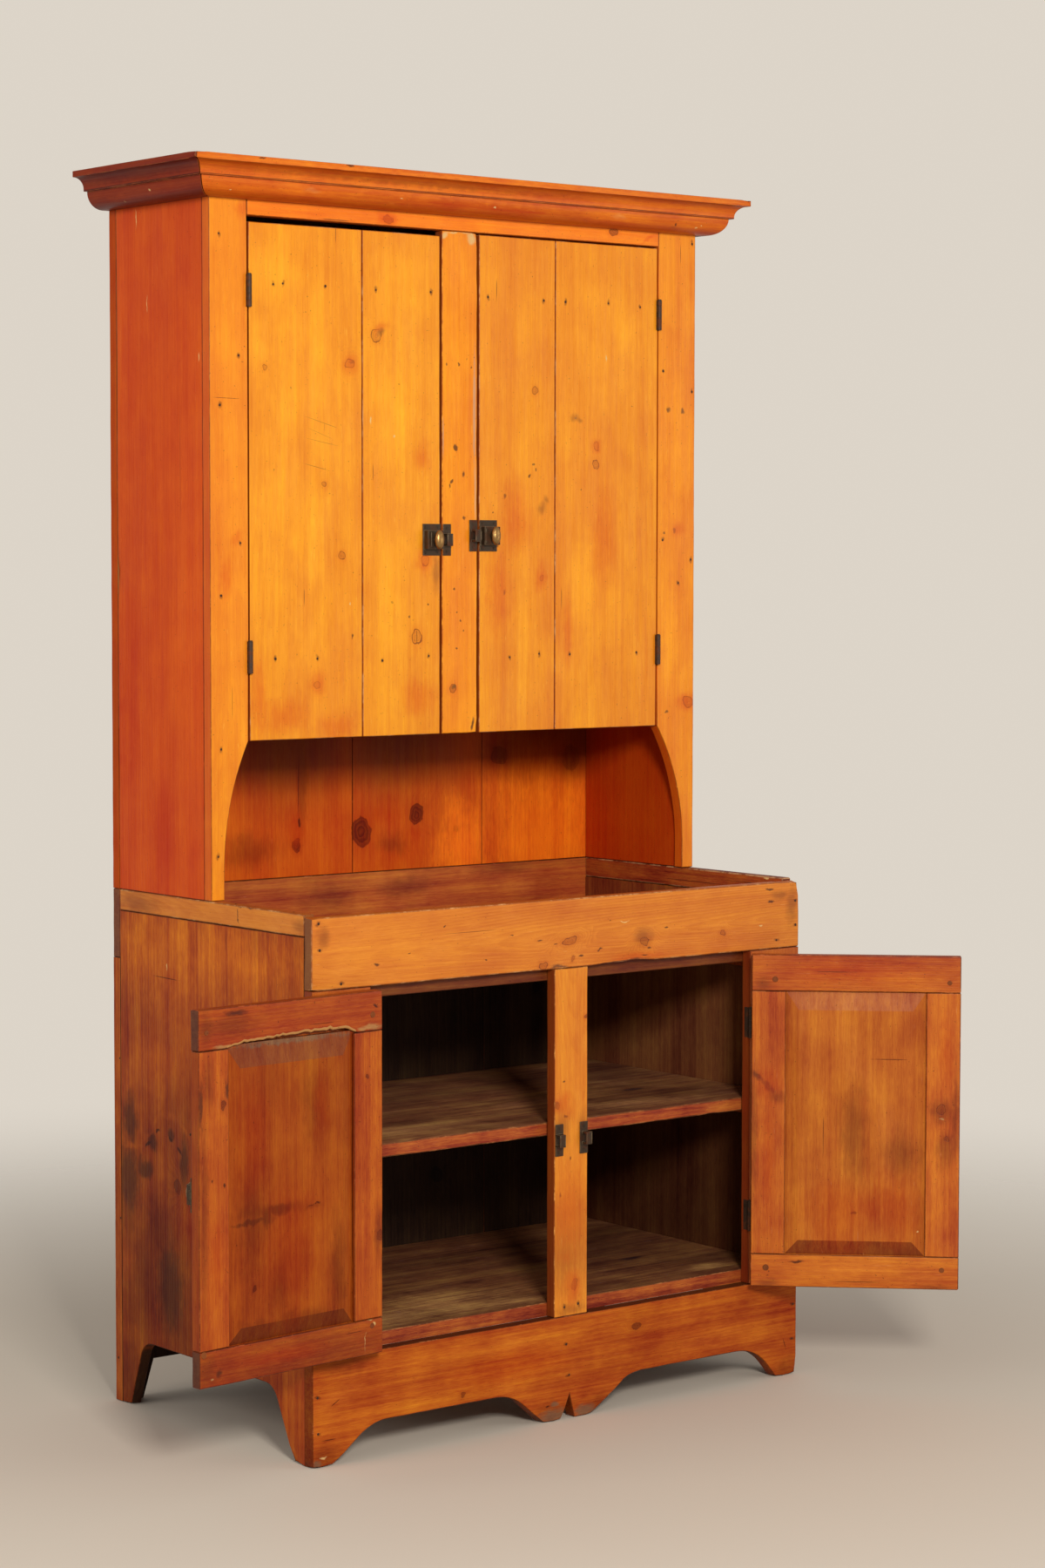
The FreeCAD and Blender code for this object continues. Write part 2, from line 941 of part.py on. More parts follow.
name(
    "latch_keepers",
    group(
        copy_of(
            keeper_master, (upper_mid + s.keeper_margin, s.upper_setback, upper_left_latch)
        ),
        copy_of(
            keeper_master,
            (upper_right_doorway - s.keeper_margin, s.upper_setback, upper_right_latch),
            True,
        ),
        copy_of(keeper_master, (lower_mid + s.keeper_margin, 0, lower_latch)),
        copy_of(keeper_master, (right_doorway - s.keeper_margin, 0, lower_latch), True),
    ),
)


# ---- Doors: each in its own frame, shut, with the pin's axis at X 0, Y 0 and heights as built ----


def hang(label, piece, pin_across, pin_front, opened):
    """Names a door's piece and sets it on its pin, turned as far as the door stands open."""
    holder = group(piece)
    holder.Placement.Rotation = FreeCAD.Rotation(FreeCAD.Vector(0, 0, 1), 1)
    bind(holder, "Placement.Rotation.Angle", opened)
    move(holder, (pin_across, pin_front, 0))
    name(label, holder)


def reach_across(direction, start, width):
    """The low X of a span that starts a given way out from the pin, on either hand."""
    return start if direction > 0 else -start - width


def door_hardware(prefix, direction, width, heights, latch_at, pose):
    """A door's two hinge leaves, and its latch's case, knob and bolt, flush with the free edge."""
    turned = direction < 0
    leaves = []
    for height in heights:
        foot = height - s.hinge_height / 2
        leaves.append(copy_of(door_leaf, (0, 0, foot + s.hinge_height if turned else foot), turned))
    hang(f"{prefix}_hinge_leaves", group(*leaves), *pose)
    spindle_out = s.hinge_gap / 2 + width - s.plate_width / 2
    spindle = (spindle_out if direction > 0 else -spindle_out, s.knuckle, latch_at)
    hang(f"{prefix}_latch_case", copy_of(latch_case_master, spindle, turned), *pose)
    hang(f"{prefix}_knob", copy_of(latch_knob_master, spindle, turned), *pose)
    hang(f"{prefix}_bolt", copy_of(latch_bolt_master, spindle, turned), *pose)


def leaf_beds(direction, heights):
    """The beds of a door's own hinge leaves, in its hinge edge."""
    edge = s.hinge_gap / 2 if direction > 0 else -s.hinge_gap / 2
    return mortises(edge, -direction, s.knuckle, heights)


def upper_door(side, direction, width, top, wide, latch_at):
    """Two upright boards held together by two battens behind them."""
    pose = (upper_pins[side], upper_pin_front, as_size(0))
    prefix = f"upper_{side}"
    bottom = alcove_top
    edge = s.hinge_gap / 2
    narrow = width - wide - s.seam
    hinge_board = block(
        (reach_across(direction, edge, wide), s.knuckle, bottom),
        (wide, s.upper_door_board, top - bottom),
    )
    free_board = block(
        (reach_across(direction, edge + wide + s.seam, narrow), s.knuckle, bottom),
        (narrow, s.upper_door_board, top - bottom),
    )
    battens = [
        block(
            (
                reach_across(direction, edge + s.batten_inset, width - s.batten_inset * 2),
                s.knuckle + s.upper_door_board,
                height - s.batten_height / 2,
            ),
            (width - s.batten_inset * 2, s.batten_board, s.batten_height),
        )
        for height in upper_hinges
    ]
    hang(f"{prefix}_wide_board", cut(hinge_board, leaf_beds(direction, upper_hinges)), *pose)
    hang(f"{prefix}_narrow_board", free_board, *pose)
    hang(f"{prefix}_battens", group(*battens), *pose)
    door_hardware(prefix, direction, width, upper_hinges, latch_at, pose)


def lower_door(side, direction, width, opened):
    """Stiles between full width rails, all grooved for a panel with its bevels on the inside."""
    pose = (lower_pins[side], lower_pin_front, opened)
    prefix = f"lower_{side}"
    bottom = doorway_sill + s.door_gap
    top = doorway_head - s.door_gap
    edge = s.hinge_gap / 2
    face = s.knuckle
    low = bottom + s.door_bottom_rail
    high = top - s.door_top_rail
    clear_width = width - s.door_stile * 2
    rails = [
        block(
            (reach_across(direction, edge, width), face, foot),
            (width, s.lower_door_board, tall),
        )
        for foot, tall in ((bottom, s.door_bottom_rail), (high, s.door_top_rail))
    ]
    stiles = [
        block(
            (reach_across(direction, start, s.door_stile), face, low),
            (s.door_stile, s.lower_door_board, high - low),
        )
        for start in (edge, edge + width - s.door_stile)
    ]
    opening = edge + s.door_stile
    groove = block(
        (
            reach_across(
                direction, opening - s.groove_depth, clear_width + s.groove_depth * 2
            ),
            face + s.groove_setback,
            low - s.groove_depth,
        ),
        (
            clear_width + s.groove_depth * 2,
            s.groove,
            high - low + s.groove_depth * 2,
        ),
    )
    tongue = s.groove_depth - s.panel_slack
    sheet_back = face + s.groove_setback + s.groove - s.panel_slack / 2
    flat = block(
        (
            reach_across(direction, opening - tongue, clear_width + tongue * 2),
            face + s.groove_setback + s.panel_slack / 2,
            low - tongue,
        ),
        (clear_width + tongue * 2, s.groove - s.panel_slack, high - low + tongue * 2),
    )
    field = doc.addObject("Part::Wedge", "field")
    field_left = reach_across(direction, opening + s.panel_slack, clear_width - s.panel_slack * 2)
    field_right = field_left + clear_width - s.panel_slack * 2
    bind(field, "Xmin", field_left)
    bind(field, "Xmax", field_right)
    bind(field, "X2min", field_left + s.bevel_side)
    bind(field, "X2max", field_right - s.bevel_side)
    bind(field, "Ymin", sheet_back)
    bind(field, "Ymax", sheet_back + s.panel_rise)
    bind(field, "Zmin", low + s.panel_slack)
    bind(field, "Zmax", high - s.panel_slack)
    bind(field, "Z2min", low + s.bevel_bottom)
    bind(field, "Z2max", high - s.bevel_top)
    hang(f"{prefix}_rails", cut(group(*rails), groove), *pose)
    hang(
        f"{prefix}_stiles",
        cut(cut(group(*stiles), groove), leaf_beds(direction, lower_hinges)),
        *pose,
    )
    hang(f"{prefix}_panel", fused(flat, field), *pose)
    door_hardware(prefix, direction, width, lower_hinges, lower_latch, pose)


gaps_across = s.hinge_gap + s.latch_gap
upper_door(
    "left",
    1,
    s.upper_left_doorway - gaps_across,
    doorway_top - s.left_door_drop,
    s.upper_left_wide,
    upper_left_latch,
)
upper_door(
    "right",
    -1,
    upper_right_stile - upper_right_doorway - gaps_across,
    doorway_top - s.door_gap,
    s.upper_right_wide,
    upper_right_latch,
)
lower_door("left", 1, s.left_doorway - gaps_across, -s.left_door_open)
lower_door("right", -1, lower_right_stile - right_doorway - gaps_across, s.right_door_open)


# ---- Check every object, then write each sub-part to its own file ----

doc.recompute()
for thing in doc.Objects:
    if "Invalid" in thing.State or "Error" in thing.State:
        raise SystemExit(f"{thing.Label} failed: {thing.State}")
os.makedirs("parts", exist_ok=True)
for node in NODES:
    shape = node.Shape
    if shape.isNull() or not shape.isValid() or not shape.Solids:
        raise SystemExit(f"{node.Label} is not a valid solid")
    shape.exportStep(f"parts/{node.Label}.step")
print(len(NODES), "sub-parts written")
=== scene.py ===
import math
from functools import partial

import bmesh
import bpy
from mathutils import Matrix, Vector, noise


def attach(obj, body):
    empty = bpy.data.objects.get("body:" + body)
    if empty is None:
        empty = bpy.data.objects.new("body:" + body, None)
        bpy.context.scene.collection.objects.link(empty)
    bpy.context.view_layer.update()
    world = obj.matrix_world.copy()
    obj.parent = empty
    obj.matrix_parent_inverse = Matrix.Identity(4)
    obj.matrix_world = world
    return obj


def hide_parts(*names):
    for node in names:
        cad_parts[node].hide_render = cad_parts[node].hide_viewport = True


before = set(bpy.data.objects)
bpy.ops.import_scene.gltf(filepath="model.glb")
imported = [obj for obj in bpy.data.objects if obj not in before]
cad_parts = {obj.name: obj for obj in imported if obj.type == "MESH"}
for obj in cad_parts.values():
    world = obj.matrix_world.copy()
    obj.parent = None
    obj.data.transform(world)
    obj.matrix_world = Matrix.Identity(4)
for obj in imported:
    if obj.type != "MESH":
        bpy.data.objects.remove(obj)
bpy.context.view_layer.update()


# ---- Camera, light and floor ----
# A seated eye a little left of the cupboard, a large soft lamp high on the left, weak ones at both
# sides, and a plain pale floor that fades into a plain pale room.
EYE = Vector((-2.9243, -4.1467, 1.3579))
LOOK_RIGHT, LOOK_DOWN, LEAN = math.radians(38.728), math.radians(3.699), math.radians(0.088)
FOCAL_LENGTH, FILM_WIDTH = 78.73, 36
scene = bpy.context.scene
level = Vector((math.cos(LOOK_RIGHT), -math.sin(LOOK_RIGHT), 0))
ahead = Vector((math.sin(LOOK_RIGHT), math.cos(LOOK_RIGHT), 0)) * math.cos(LOOK_DOWN)
ahead.z = -math.sin(LOOK_DOWN)
upward = level.cross(ahead)
side = level * math.cos(LEAN) + upward * math.sin(LEAN)
upward = upward * math.cos(LEAN) - level * math.sin(LEAN)
lens = bpy.data.cameras.new("eye")
lens.lens = FOCAL_LENGTH
lens.sensor_width = FILM_WIDTH
eye = bpy.data.objects.new("eye", lens)
eye.matrix_world = Matrix.Translation(EYE) @ Matrix((side, upward, -ahead)).transposed().to_4x4()
scene.collection.objects.link(eye)
scene.camera = eye
scene.view_settings.view_transform = "Standard"


def lamp(name, place, aim, size, power, colour):
    light = bpy.data.lights.new(name, "AREA")
    light.shape = "RECTANGLE"
    light.size = light.size_y = size
    light.energy = power
    light.color = colour
    thing = bpy.data.objects.new(name, light)
    thing.location = place
    thing.rotation_euler = (Vector(aim) - Vector(place)).to_track_quat("-Z", "Y").to_euler()
    scene.collection.objects.link(thing)


lamp("key_lamp", (-1.75, -4.1, 2.5), (0.5, 0.2, 1.0), 0.8, 172, (1.0, 0.95, 0.88))
lamp("right_lamp", (3.6, -3.4, 1.7), (0.5, 0.2, 1.0), 2.4, 40, (1.0, 0.97, 0.94))
lamp("left_lamp", (-3.6, 0.5, 2.3), (0.0, 0.3, 1.2), 2.4, 45, (1.0, 0.95, 0.9))


def wire(tree, kind, sockets, **settings):
    """Adds a node with its settings, and values or links for its sockets; gives its outputs."""
    node = tree.nodes.new(kind if "Node" in kind else "ShaderNode" + kind)
    for key, value in settings.items():
        setattr(node, key, value)
    for socket, value in sockets.items():
        if isinstance(value, bpy.types.NodeSocket):
            tree.links.new(value, node.inputs[socket])
        else:
            node.inputs[socket].default_value = value
    return node.outputs


def count(tree, operation, *values):
    """One step of arithmetic."""
    return wire(tree, "Math", dict(enumerate(values)), operation=operation)[0]


def empty_tree(holder):
    """Gives a material's or a world's own tree, with nothing in it."""
    holder.use_nodes = True
    holder.node_tree.nodes.clear()
    return holder.node_tree


GLOW = 0.36
room = bpy.data.worlds.new("room")
scene.world = room
tree = empty_tree(room)
rays = wire(tree, "LightPath", {})
mirrored = count(tree, "MAXIMUM", rays["Is Glossy Ray"], rays["Is Transmission Ray"])
seen = count(tree, "MAXIMUM", rays["Is Camera Ray"], mirrored)
glow = wire(tree, "Background", {"Color": (1.0, 0.96, 0.91, 1), "Strength": GLOW})[0]
walls = wire(tree, "Background", {"Color": (0.72, 0.66, 0.58, 1), "Strength": 1.0})[0]
wire(tree, "OutputWorld", {"Surface": wire(tree, "MixShader", {0: seen, 1: glow, 2: walls})[0]})

MIDDLE = (0.5, 0.3, 0)
FLOOR_REACH, FLOOR_DROP = 14, 0.0005
FADE_START, FADE_END = 0.7, 3.2
floor_mesh = bpy.data.meshes.new("floor")
bm = bmesh.new()
just_under = Matrix.Translation((*MIDDLE[:2], -FLOOR_DROP))
bmesh.ops.create_circle(bm, cap_ends=True, segments=96, radius=FLOOR_REACH, matrix=just_under)
bm.to_mesh(floor_mesh)
floor = bpy.data.objects.new("floor", floor_mesh)
scene.collection.objects.link(floor)
floor_finish = bpy.data.materials.new("pale_floor")
tree = empty_tree(floor_finish)
place = wire(tree, "TexCoord", {})["Object"]
away = wire(tree, "VectorMath", {0: place, 1: MIDDLE}, operation="DISTANCE")["Value"]
fade_span = {"Value": away, 1: FADE_START, 2: FADE_END}
fade = wire(tree, "MapRange", fade_span, interpolation_type="SMOOTHSTEP")[0]
ground = wire(tree, "BsdfPrincipled", {"Base Color": (0.66, 0.59, 0.5, 1), "Roughness": 0.8})[0]
clear = wire(tree, "BsdfTransparent", {})[0]
wire(tree, "OutputMaterial", {"Surface": wire(tree, "MixShader", {0: fade, 1: ground, 2: clear})[0]})
floor_mesh.materials.append(floor_finish)


# ---- Sides of the lower case, with the strips that raise their rims ----
# Wide pine boards with an arch sawn between the feet, worn and stained brown where hands and feet
# reached them. A square strip nailed along the top of each makes the end wall of the well.
MM = 0.001
# a mark goes this far through the wood, in metres, so that it never ends short of a face
THROUGH = 1000


def spots(tree, coords, marks):
    """How far a point is from the nearest mark, in that mark's own radii. A mark is its place
    across and along the board, its two radii in millimetres, and its turn in degrees."""
    nearest = None
    for across, along, wide, tall, *turn in marks:
        oval = {
            "Vector": coords,
            "Location": (across * MM, 0, along * MM),
            "Rotation": (0, math.radians(turn[0] if turn else 0), 0),
            "Scale": (wide * MM, THROUGH, tall * MM),
        }
        place = wire(tree, "Mapping", oval, vector_type="TEXTURE")[0]
        far = wire(tree, "VectorMath", {0: place}, operation="LENGTH")["Value"]
        nearest = far if nearest is None else count(tree, "MINIMUM", nearest, far)
    return nearest


def blend(tree, factor, first, second):
    """Mixes two colours."""
    return wire(tree, "Mix", {0: factor, 6: first, 7: second}, data_type="RGBA")[2]


def swing(tree, value, low, high, start=0.0, end=1.0):
    """Carries a value smoothly from one span to another."""
    span = {"Value": value, 1: low, 2: high, 3: start, 4: end}
    return wire(tree, "MapRange", span, interpolation_type="SMOOTHSTEP")[0]


def carried(tree, name):
    """A number that the vertices carry under a name."""
    return wire(tree, "Attribute", {}, attribute_name=name)["Fac"]


def mottle(tree, coords, scale, detail, rough=0.5):
    """Plain noise."""
    sockets = {"Vector": coords, "Scale": scale, "Detail": detail, "Roughness": rough}
    return wire(tree, "TexNoise", sockets)["Fac"]


def grain(tree, coords, across, along, detail=3.0, rough=0.55):
    """Noise drawn out along the board."""
    drawn = wire(tree, "VectorMath", {0: coords, 1: (across, across, along)}, operation="MULTIPLY")[0]
    return mottle(tree, drawn, 1.0, detail, rough)


def shade(colour, red, green, blue):
    """A colour with each of its parts taken up or down."""
    return (colour[0] * red, colour[1] * green, colour[2] * blue, 1)


# where a mark starts to fade and where it ends, in its radii, how strong it is, and its colour
# beside the early wood's, or none where the colour is one of BARE_WOOD
MARK_KINDS = {
    "stain": (0.35, 1.25, 0.85, (0.2, 0.22, 0.8)),
    "gold": (0.1, 1.5, 0.6, (1.12, 1.24, 1.2)),
    # the next kind paints a cast shadow, with a smooth rim
    "smoke": (0.2, 1.3, 0.8, (0.22, 0.2, 0.5)),
    # the next kind is dirt, and in the crown's hollow a painted shade
    "soil": (0.1, 1.5, 0.62, (0.4, 0.34, 0.5)),
    "red": (0.1, 1.5, 0.6, (0.8, 0.4, 0.35)),
    # the next kind lightens the wood; in the alcove it paints a pool of light
    "bright": (0.1, 1.5, 0.9, (1.65, 2.15, 1.4)),
    "bleach": (0.1, 1.4, 0.6, None),
    "grey": (0.3, 1.1, 0.75, None),
    "dark": (0.4, 1.1, 0.85, (0.1, 0.09, 0.4)),
    # the next kind draws cracks, and on the left lower door's panel a painted shadow in a gap
    "crack": (0.5, 1.05, 0.8, (0.13, 0.09, 0.3)),
    "scrape": (0.4, 1.1, 0.6, None),
    "rust": (0.3, 1.5, 0.6, (0.14, 0.1, 0.35)),
    "raw": (0.4, 1.2, 0.9, None),
    "pale": (0.4, 1.1, 0.8, None),
}
TRUNK_TILT = 0.045
# how far apart, in metres, two boards of one piece lie in their tree
BOARD_SHIFT = (0.71, 0, 3.3)
BARE_WOOD = {
    "bleach": (0.66, 0.34, 0.12, 1),
    "grey": (0.17, 0.1, 0.055, 1),
    "scrape": (0.5, 0.34, 0.22, 1),
    "raw": (0.44, 0.21, 0.065, 1),
    "pale": (0.72, 0.5, 0.2, 1),
}
CLEAN_RIMS = ("crack", "scrape")
# noises that make the colour uneven: how fine across and along the board, and each one's share
UNEVEN = ((24.0, 1.4, 1.1), (170.0, 4.0, 0.9), (650.0, 60.0, 0.7), (18.0, 14.0, 0.9))
# marks smaller than SMALL and broader than LARGE, in millimetres, are frayed less and more
SMALL, LARGE = 14, 42
RUST_STAIN = (2.8, 4.5)


def pine(name, axes, light, late, deep, ring=4.0, pith=(0, 60), hung=None, gloss=0.42, worn=0.3,
         edge=(0.1, 0.014, 0.004), bare=None, ringing=0.35, streaking=0.4, clouding=0.5, contrast=0.5,
         knotty=0.8, scuffed=0.35, specular=0.16, flank=None, ends=None, inner=(), slopes=None, **marks):
    """Old pine under shellac. Axes name the directions across, through and along the board; light,
    late and deep are the early wood, the late wood and the cloudy red of thick shellac; ring is a
    year's growth and pith where the tree's middle lay, across and behind the board; hung gives a
    door's pin and angle. Gloss and specular are how rough and how bright the shine is; ringing,
    streaking, clouding, contrast, scuffed, worn and knotty are how strong the rings, streaks,
    shellac clouds, uneven colour, scuffs, rubbed arrises and knots are. Edge and bare colour the
    arrises, grimy and rubbed; flank and ends colour a board's edges and end grain; inner colours
    what faced inwards, mostly bare wood, some of it painted darker as shade, between two depths
    through the board and two heights along it; slopes colour a panel's bevels, where they face up
    and down, those facing down painted darker as shade. Marks are lists of places, one list to a
    kind, laid over each other in the order they are given; some kinds paint shadow and light."""
    finish = bpy.data.materials.new(name)
    tree = empty_tree(finish)
    times, plus, less = (partial(count, tree, sign) for sign in ("MULTIPLY", "ADD", "SUBTRACT"))
    scaled = partial(count, tree, "MULTIPLY_ADD")
    mix, ramp, fibres = partial(blend, tree), partial(swing, tree), partial(grain, tree)
    given = wire(tree, "TexCoord", {})
    place, facing = given["Object"], given["Normal"]
    if hung:
        pin, angle = hung
        turned = {"Vector": place, "Location": (*pin, 0), "Rotation": (0, 0, math.radians(angle))}
        place = wire(tree, "Mapping", turned, vector_type="TEXTURE")[0]
        turned = {"Vector": facing, "Rotation": (0, 0, math.radians(angle))}
        facing = wire(tree, "Mapping", turned, vector_type="TEXTURE")[0]
    parts = wire(tree, "SeparateXYZ", {0: place})
    coords = wire(tree, "CombineXYZ", {i: parts["XYZ".index(a)] for i, a in enumerate(axes)})[0]
    facing = wire(tree, "SeparateXYZ", {0: facing})
    aslant, _, climb = (facing["XYZ".index(axis)] for axis in axes)
    board = carried(tree, "board")
    shift = wire(tree, "VectorMath", {0: BOARD_SHIFT, 3: board}, operation="SCALE")[0]
    own = wire(tree, "VectorMath", {0: coords, 1: shift}, operation="ADD")[0]

    def frayed(scale, pull):
        """The place moved about by noise, so that a mark's rim isn't a clean curve."""
        soft = wire(tree, "TexNoise", {"Vector": coords, "Scale": scale, "Detail": 4.0})["Color"]
        soft = wire(tree, "VectorMath", {0: soft, 1: (0.5, 0.5, 0.5)}, operation="SUBTRACT")[0]
        return wire(tree, "VectorMath", {0: soft, 1: pull, 2: coords}, operation="MULTIPLY_ADD")[0]

    ragged = frayed(60.0, (0.012, 0, 0.018))
    wavering = frayed(32.0, (0.03, 0, 0.045))
    drifting = frayed(13.0, (0.05, 0, 0.1))

    # year rings, wrapped round the knots
    knots = spots(tree, ragged, marks.pop("knot")) if "knot" in marks else None
    across, through, along = wire(tree, "SeparateXYZ", {0: own})
    aside = less(across, pith[0] * MM)
    behind = less(through, pith[1] * MM)
    behind = scaled(along, TRUNK_TILT, behind)
    squares = scaled(aside, aside, times(behind, behind))
    wave = less(fibres(own, 7.0, 1.1, 2.0), 0.5)
    field = scaled(wave, 0.05, count(tree, "SQRT", squares))
    if knots:
        field = scaled(ramp(knots, 0.0, 4.5, 1.0, 0.0), 0.03, field)
    year = count(tree, "FRACT", times(field, 1 / (ring * MM)))
    rings = times(ramp(year, 0.15, 0.88), ramp(year, 0.9, 1.0, 1.0, 0.0))
    strength = ramp(fibres(own, 4.0, 0.9, 1.0), 0.3, 0.7)
    rings = times(rings, strength)
    streak = ramp(fibres(own, 75.0, 1.6, 3.0), 0.3, 0.72)
    fibre = ramp(fibres(own, 420.0, 9.0, 2.0), 0.42, 0.7)
    cloud = ramp(fibres(own, 9.0, 4.0, 4.0, 0.6), 0.38, 0.72)
    patch = fibres(own, 16.0, 7.0, 4.0, 0.62)
    colour = mix(times(rings, ringing), (*light, 1), (*late, 1))
    colour = mix(times(streak, streaking * 0.55), colour, (*late, 1))
    colour = mix(times(fibre, 0.25), colour, (*late, 1))
    colour = mix(times(cloud, clouding * 0.7), colour, (*deep, 1))
    brighter = shade(light, 1.06, 1.15, 1.4)
    colour = mix(ramp(patch, 0.5, 0.75, 0.0, 0.6), colour, brighter)

    # a panel's bevels take their own colours, those facing down painted darker as shade
    if slopes:
        for slope, low, high in ((slopes[0], 0.06, 0.13), (slopes[1], -0.06, -0.13)):
            tilted = times(ramp(climb, low, high), ramp(climb, 4 * low, 5 * low, 1.0, 0.0))
            colour = mix(times(tilted, 0.85), colour, (*slope, 1))

    # marks: knots with a ringed heart in a red halo, worn, stained and rubbed places, and painted shadow
    # and light
    relief = scaled(streak, 0.3, times(fibre, 0.35))
    relief = scaled(rings, 0.5, relief)
    if knots:
        halo = times(ramp(knots, 0.7, 2.6, 1.0, 0.0), 0.5)
        colour = mix(halo, colour, (*deep, 1))
        knot_year = count(tree, "FRACT", times(knots, 2.7))
        heart = ramp(knots, 0.85, 1.1, 1.0, 0.0)
        heart = times(heart, ramp(knot_year, 0.1, 0.9, 0.75 * knotty * knotty, knotty))
        bark = count(tree, "ABSOLUTE", less(knots, 0.97))
        heart = count(tree, "MAXIMUM", heart, ramp(bark, 0.03, 0.16, 0.85, 0.0))
        colour = mix(heart, colour, shade(light, 0.22, 0.13, 0.4))
        relief = less(relief, times(heart, 0.8))
    fray = scaled(fibres(coords, 260.0, 60.0, 3.0), 0.9, -0.45)
    for kind, places in marks.items():
        inside, outside, most, beside = MARK_KINDS[kind]
        if kind == "rust":
            places = [place + RUST_STAIN for place in places]
        fine = coords if kind in CLEAN_RIMS else ragged
        tiers = ((drifting, LARGE, math.inf), (wavering, SMALL, LARGE), (fine, 0, SMALL))
        for where, least, limit in tiers:
            some = [place for place in places if least < min(place[2:4]) <= limit]
            if some:
                # a painted shadow keeps a smooth rim, not frayed along the grain
                if kind == "smoke":
                    near = spots(tree, coords, some)
                else:
                    near = plus(spots(tree, where, some), fray)
                mask = ramp(near, inside, outside, most, 0.0)
                colour = mix(mask, colour, shade(light, *beside) if beside else BARE_WOOD[kind])

    # how uneven the colour is: wide bands, threads, flecks and blotches, the paler the yellower
    uneven = 0.0
    for across, along, share in UNEVEN:
        part = less(fibres(own, across, along, 3.0), 0.5)
        uneven = scaled(part, share * contrast, uneven)
    hue, value = scaled(uneven, 0.034, 0.5), scaled(uneven, 1.2 - 0.85 * light[0], 1.0)

    def varied(tone):
        """A colour made as uneven as the board is."""
        return wire(tree, "HueSaturation", {"Hue": hue, "Value": value, "Color": tone})[0]

    colour = varied(colour)
    dash = ramp(fibres(coords, 420.0, 34.0, 2.0), 0.7, 0.76, 0.0, scuffed)
    colour = mix(dash, colour, shade(light, 1.15, 1.9, 6.0))

    # edges and end grain took the shellac darker; inner faces never had any, and some are painted darker
    # as shade
    on_flank = ramp(count(tree, "ABSOLUTE", aslant), 0.6, 0.9, 0.0, 0.9)
    on_end = ramp(count(tree, "ABSOLUTE", climb), 0.6, 0.9, 0.0, 0.8)
    flank = flank or [(a + b) / 2.4 for a, b in zip(late, deep)]
    ends = ends or [part * 0.45 for part in late]
    colour = mix(on_flank, colour, varied((*flank, 1)))
    colour = mix(on_end, colour, varied((*ends, 1)))
    _, depth, height = wire(tree, "SeparateXYZ", {0: coords})
    for near_side, far_side, foot, head, inner_colour in inner:
        inside = ramp(depth, (near_side - 0.6) * MM, (near_side + 0.2) * MM)
        inside = times(inside, ramp(on_flank, 0.1, 0.8, 1.0, 0.0))
        for reach, limit in ((depth, far_side), (height, head)):
            inside = times(inside, ramp(reach, (limit - 0.2) * MM, (limit + 0.6) * MM, 1.0, 0.0))
        inside = times(inside, ramp(height, (foot - 2) * MM, (foot + 2) * MM))
        colour = mix(inside, colour, varied((*inner_colour, 1)))

    # arrises: dark with old grime, rubbed pale in places; flyspecks all over
    arris = carried(tree, "arris")
    rub = mottle(tree, coords, 26.0, 5.0, 0.75)
    grime = times(ramp(arris, 0.1, 1.0), ramp(rub, 0.3, 0.6, 0.4, 0.75))
    colour = mix(grime, colour, (*edge, 1))
    rubbed = ramp(rub, 0.62 - 0.25 * worn, 0.84 - 0.25 * worn, 0.0, 0.8)
    rubbed = times(rubbed, ramp(arris, 0.1, 0.9))
    colour = mix(rubbed, colour, (*bare, 1) if bare else shade(light, 1.25, 1.6, 4.0))
    colour = mix(ramp(carried(tree, "torn"), 0.45, 0.9), colour, BARE_WOOD["raw"])
    specks = mottle(tree, coords, 330.0, 1.0)
    colour = mix(ramp(specks, 0.72, 0.77, 0.0, 0.6), colour, shade(light, 0.1, 0.08, 0.4))

    shine = scaled(fibre, 0.12, gloss)
    shine = scaled(cloud, -0.08, shine)
    bump = {"Strength": 0.4, "Distance": 0.0006, "Height": scaled(uneven, 0.5, relief)}
    surface = {
        "Base Color": colour,
        "Roughness": shine,
        "Normal": wire(tree, "Bump", bump)[0],
        "IOR": 1.5,
        "Specular IOR Level": specular,
    }
    wire(tree, "OutputMaterial", {"Surface": wire(tree, "BsdfPrincipled", surface)[0]})
    return finish


def show(mesh, name, finish, body, slot, *nodes):
    """Puts a finished mesh in the scene, on its body, in place of the nodes it stands for."""
    mesh.name = name
    mesh.materials.clear()
    mesh.materials.append(finish)
    thing = bpy.data.objects.new(name, mesh)
    scene.collection.objects.link(thing)
    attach(thing, body)
    if nodes:
        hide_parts(*nodes)
    return thing


def swung(angle):
    """The turn of a door that stands open by an angle in degrees."""
    return Matrix.Rotation(math.radians(angle), 4, "Z")


ARRIS, TOUCHING, IN_LINE = math.radians(25), 1e-5, math.radians(1)


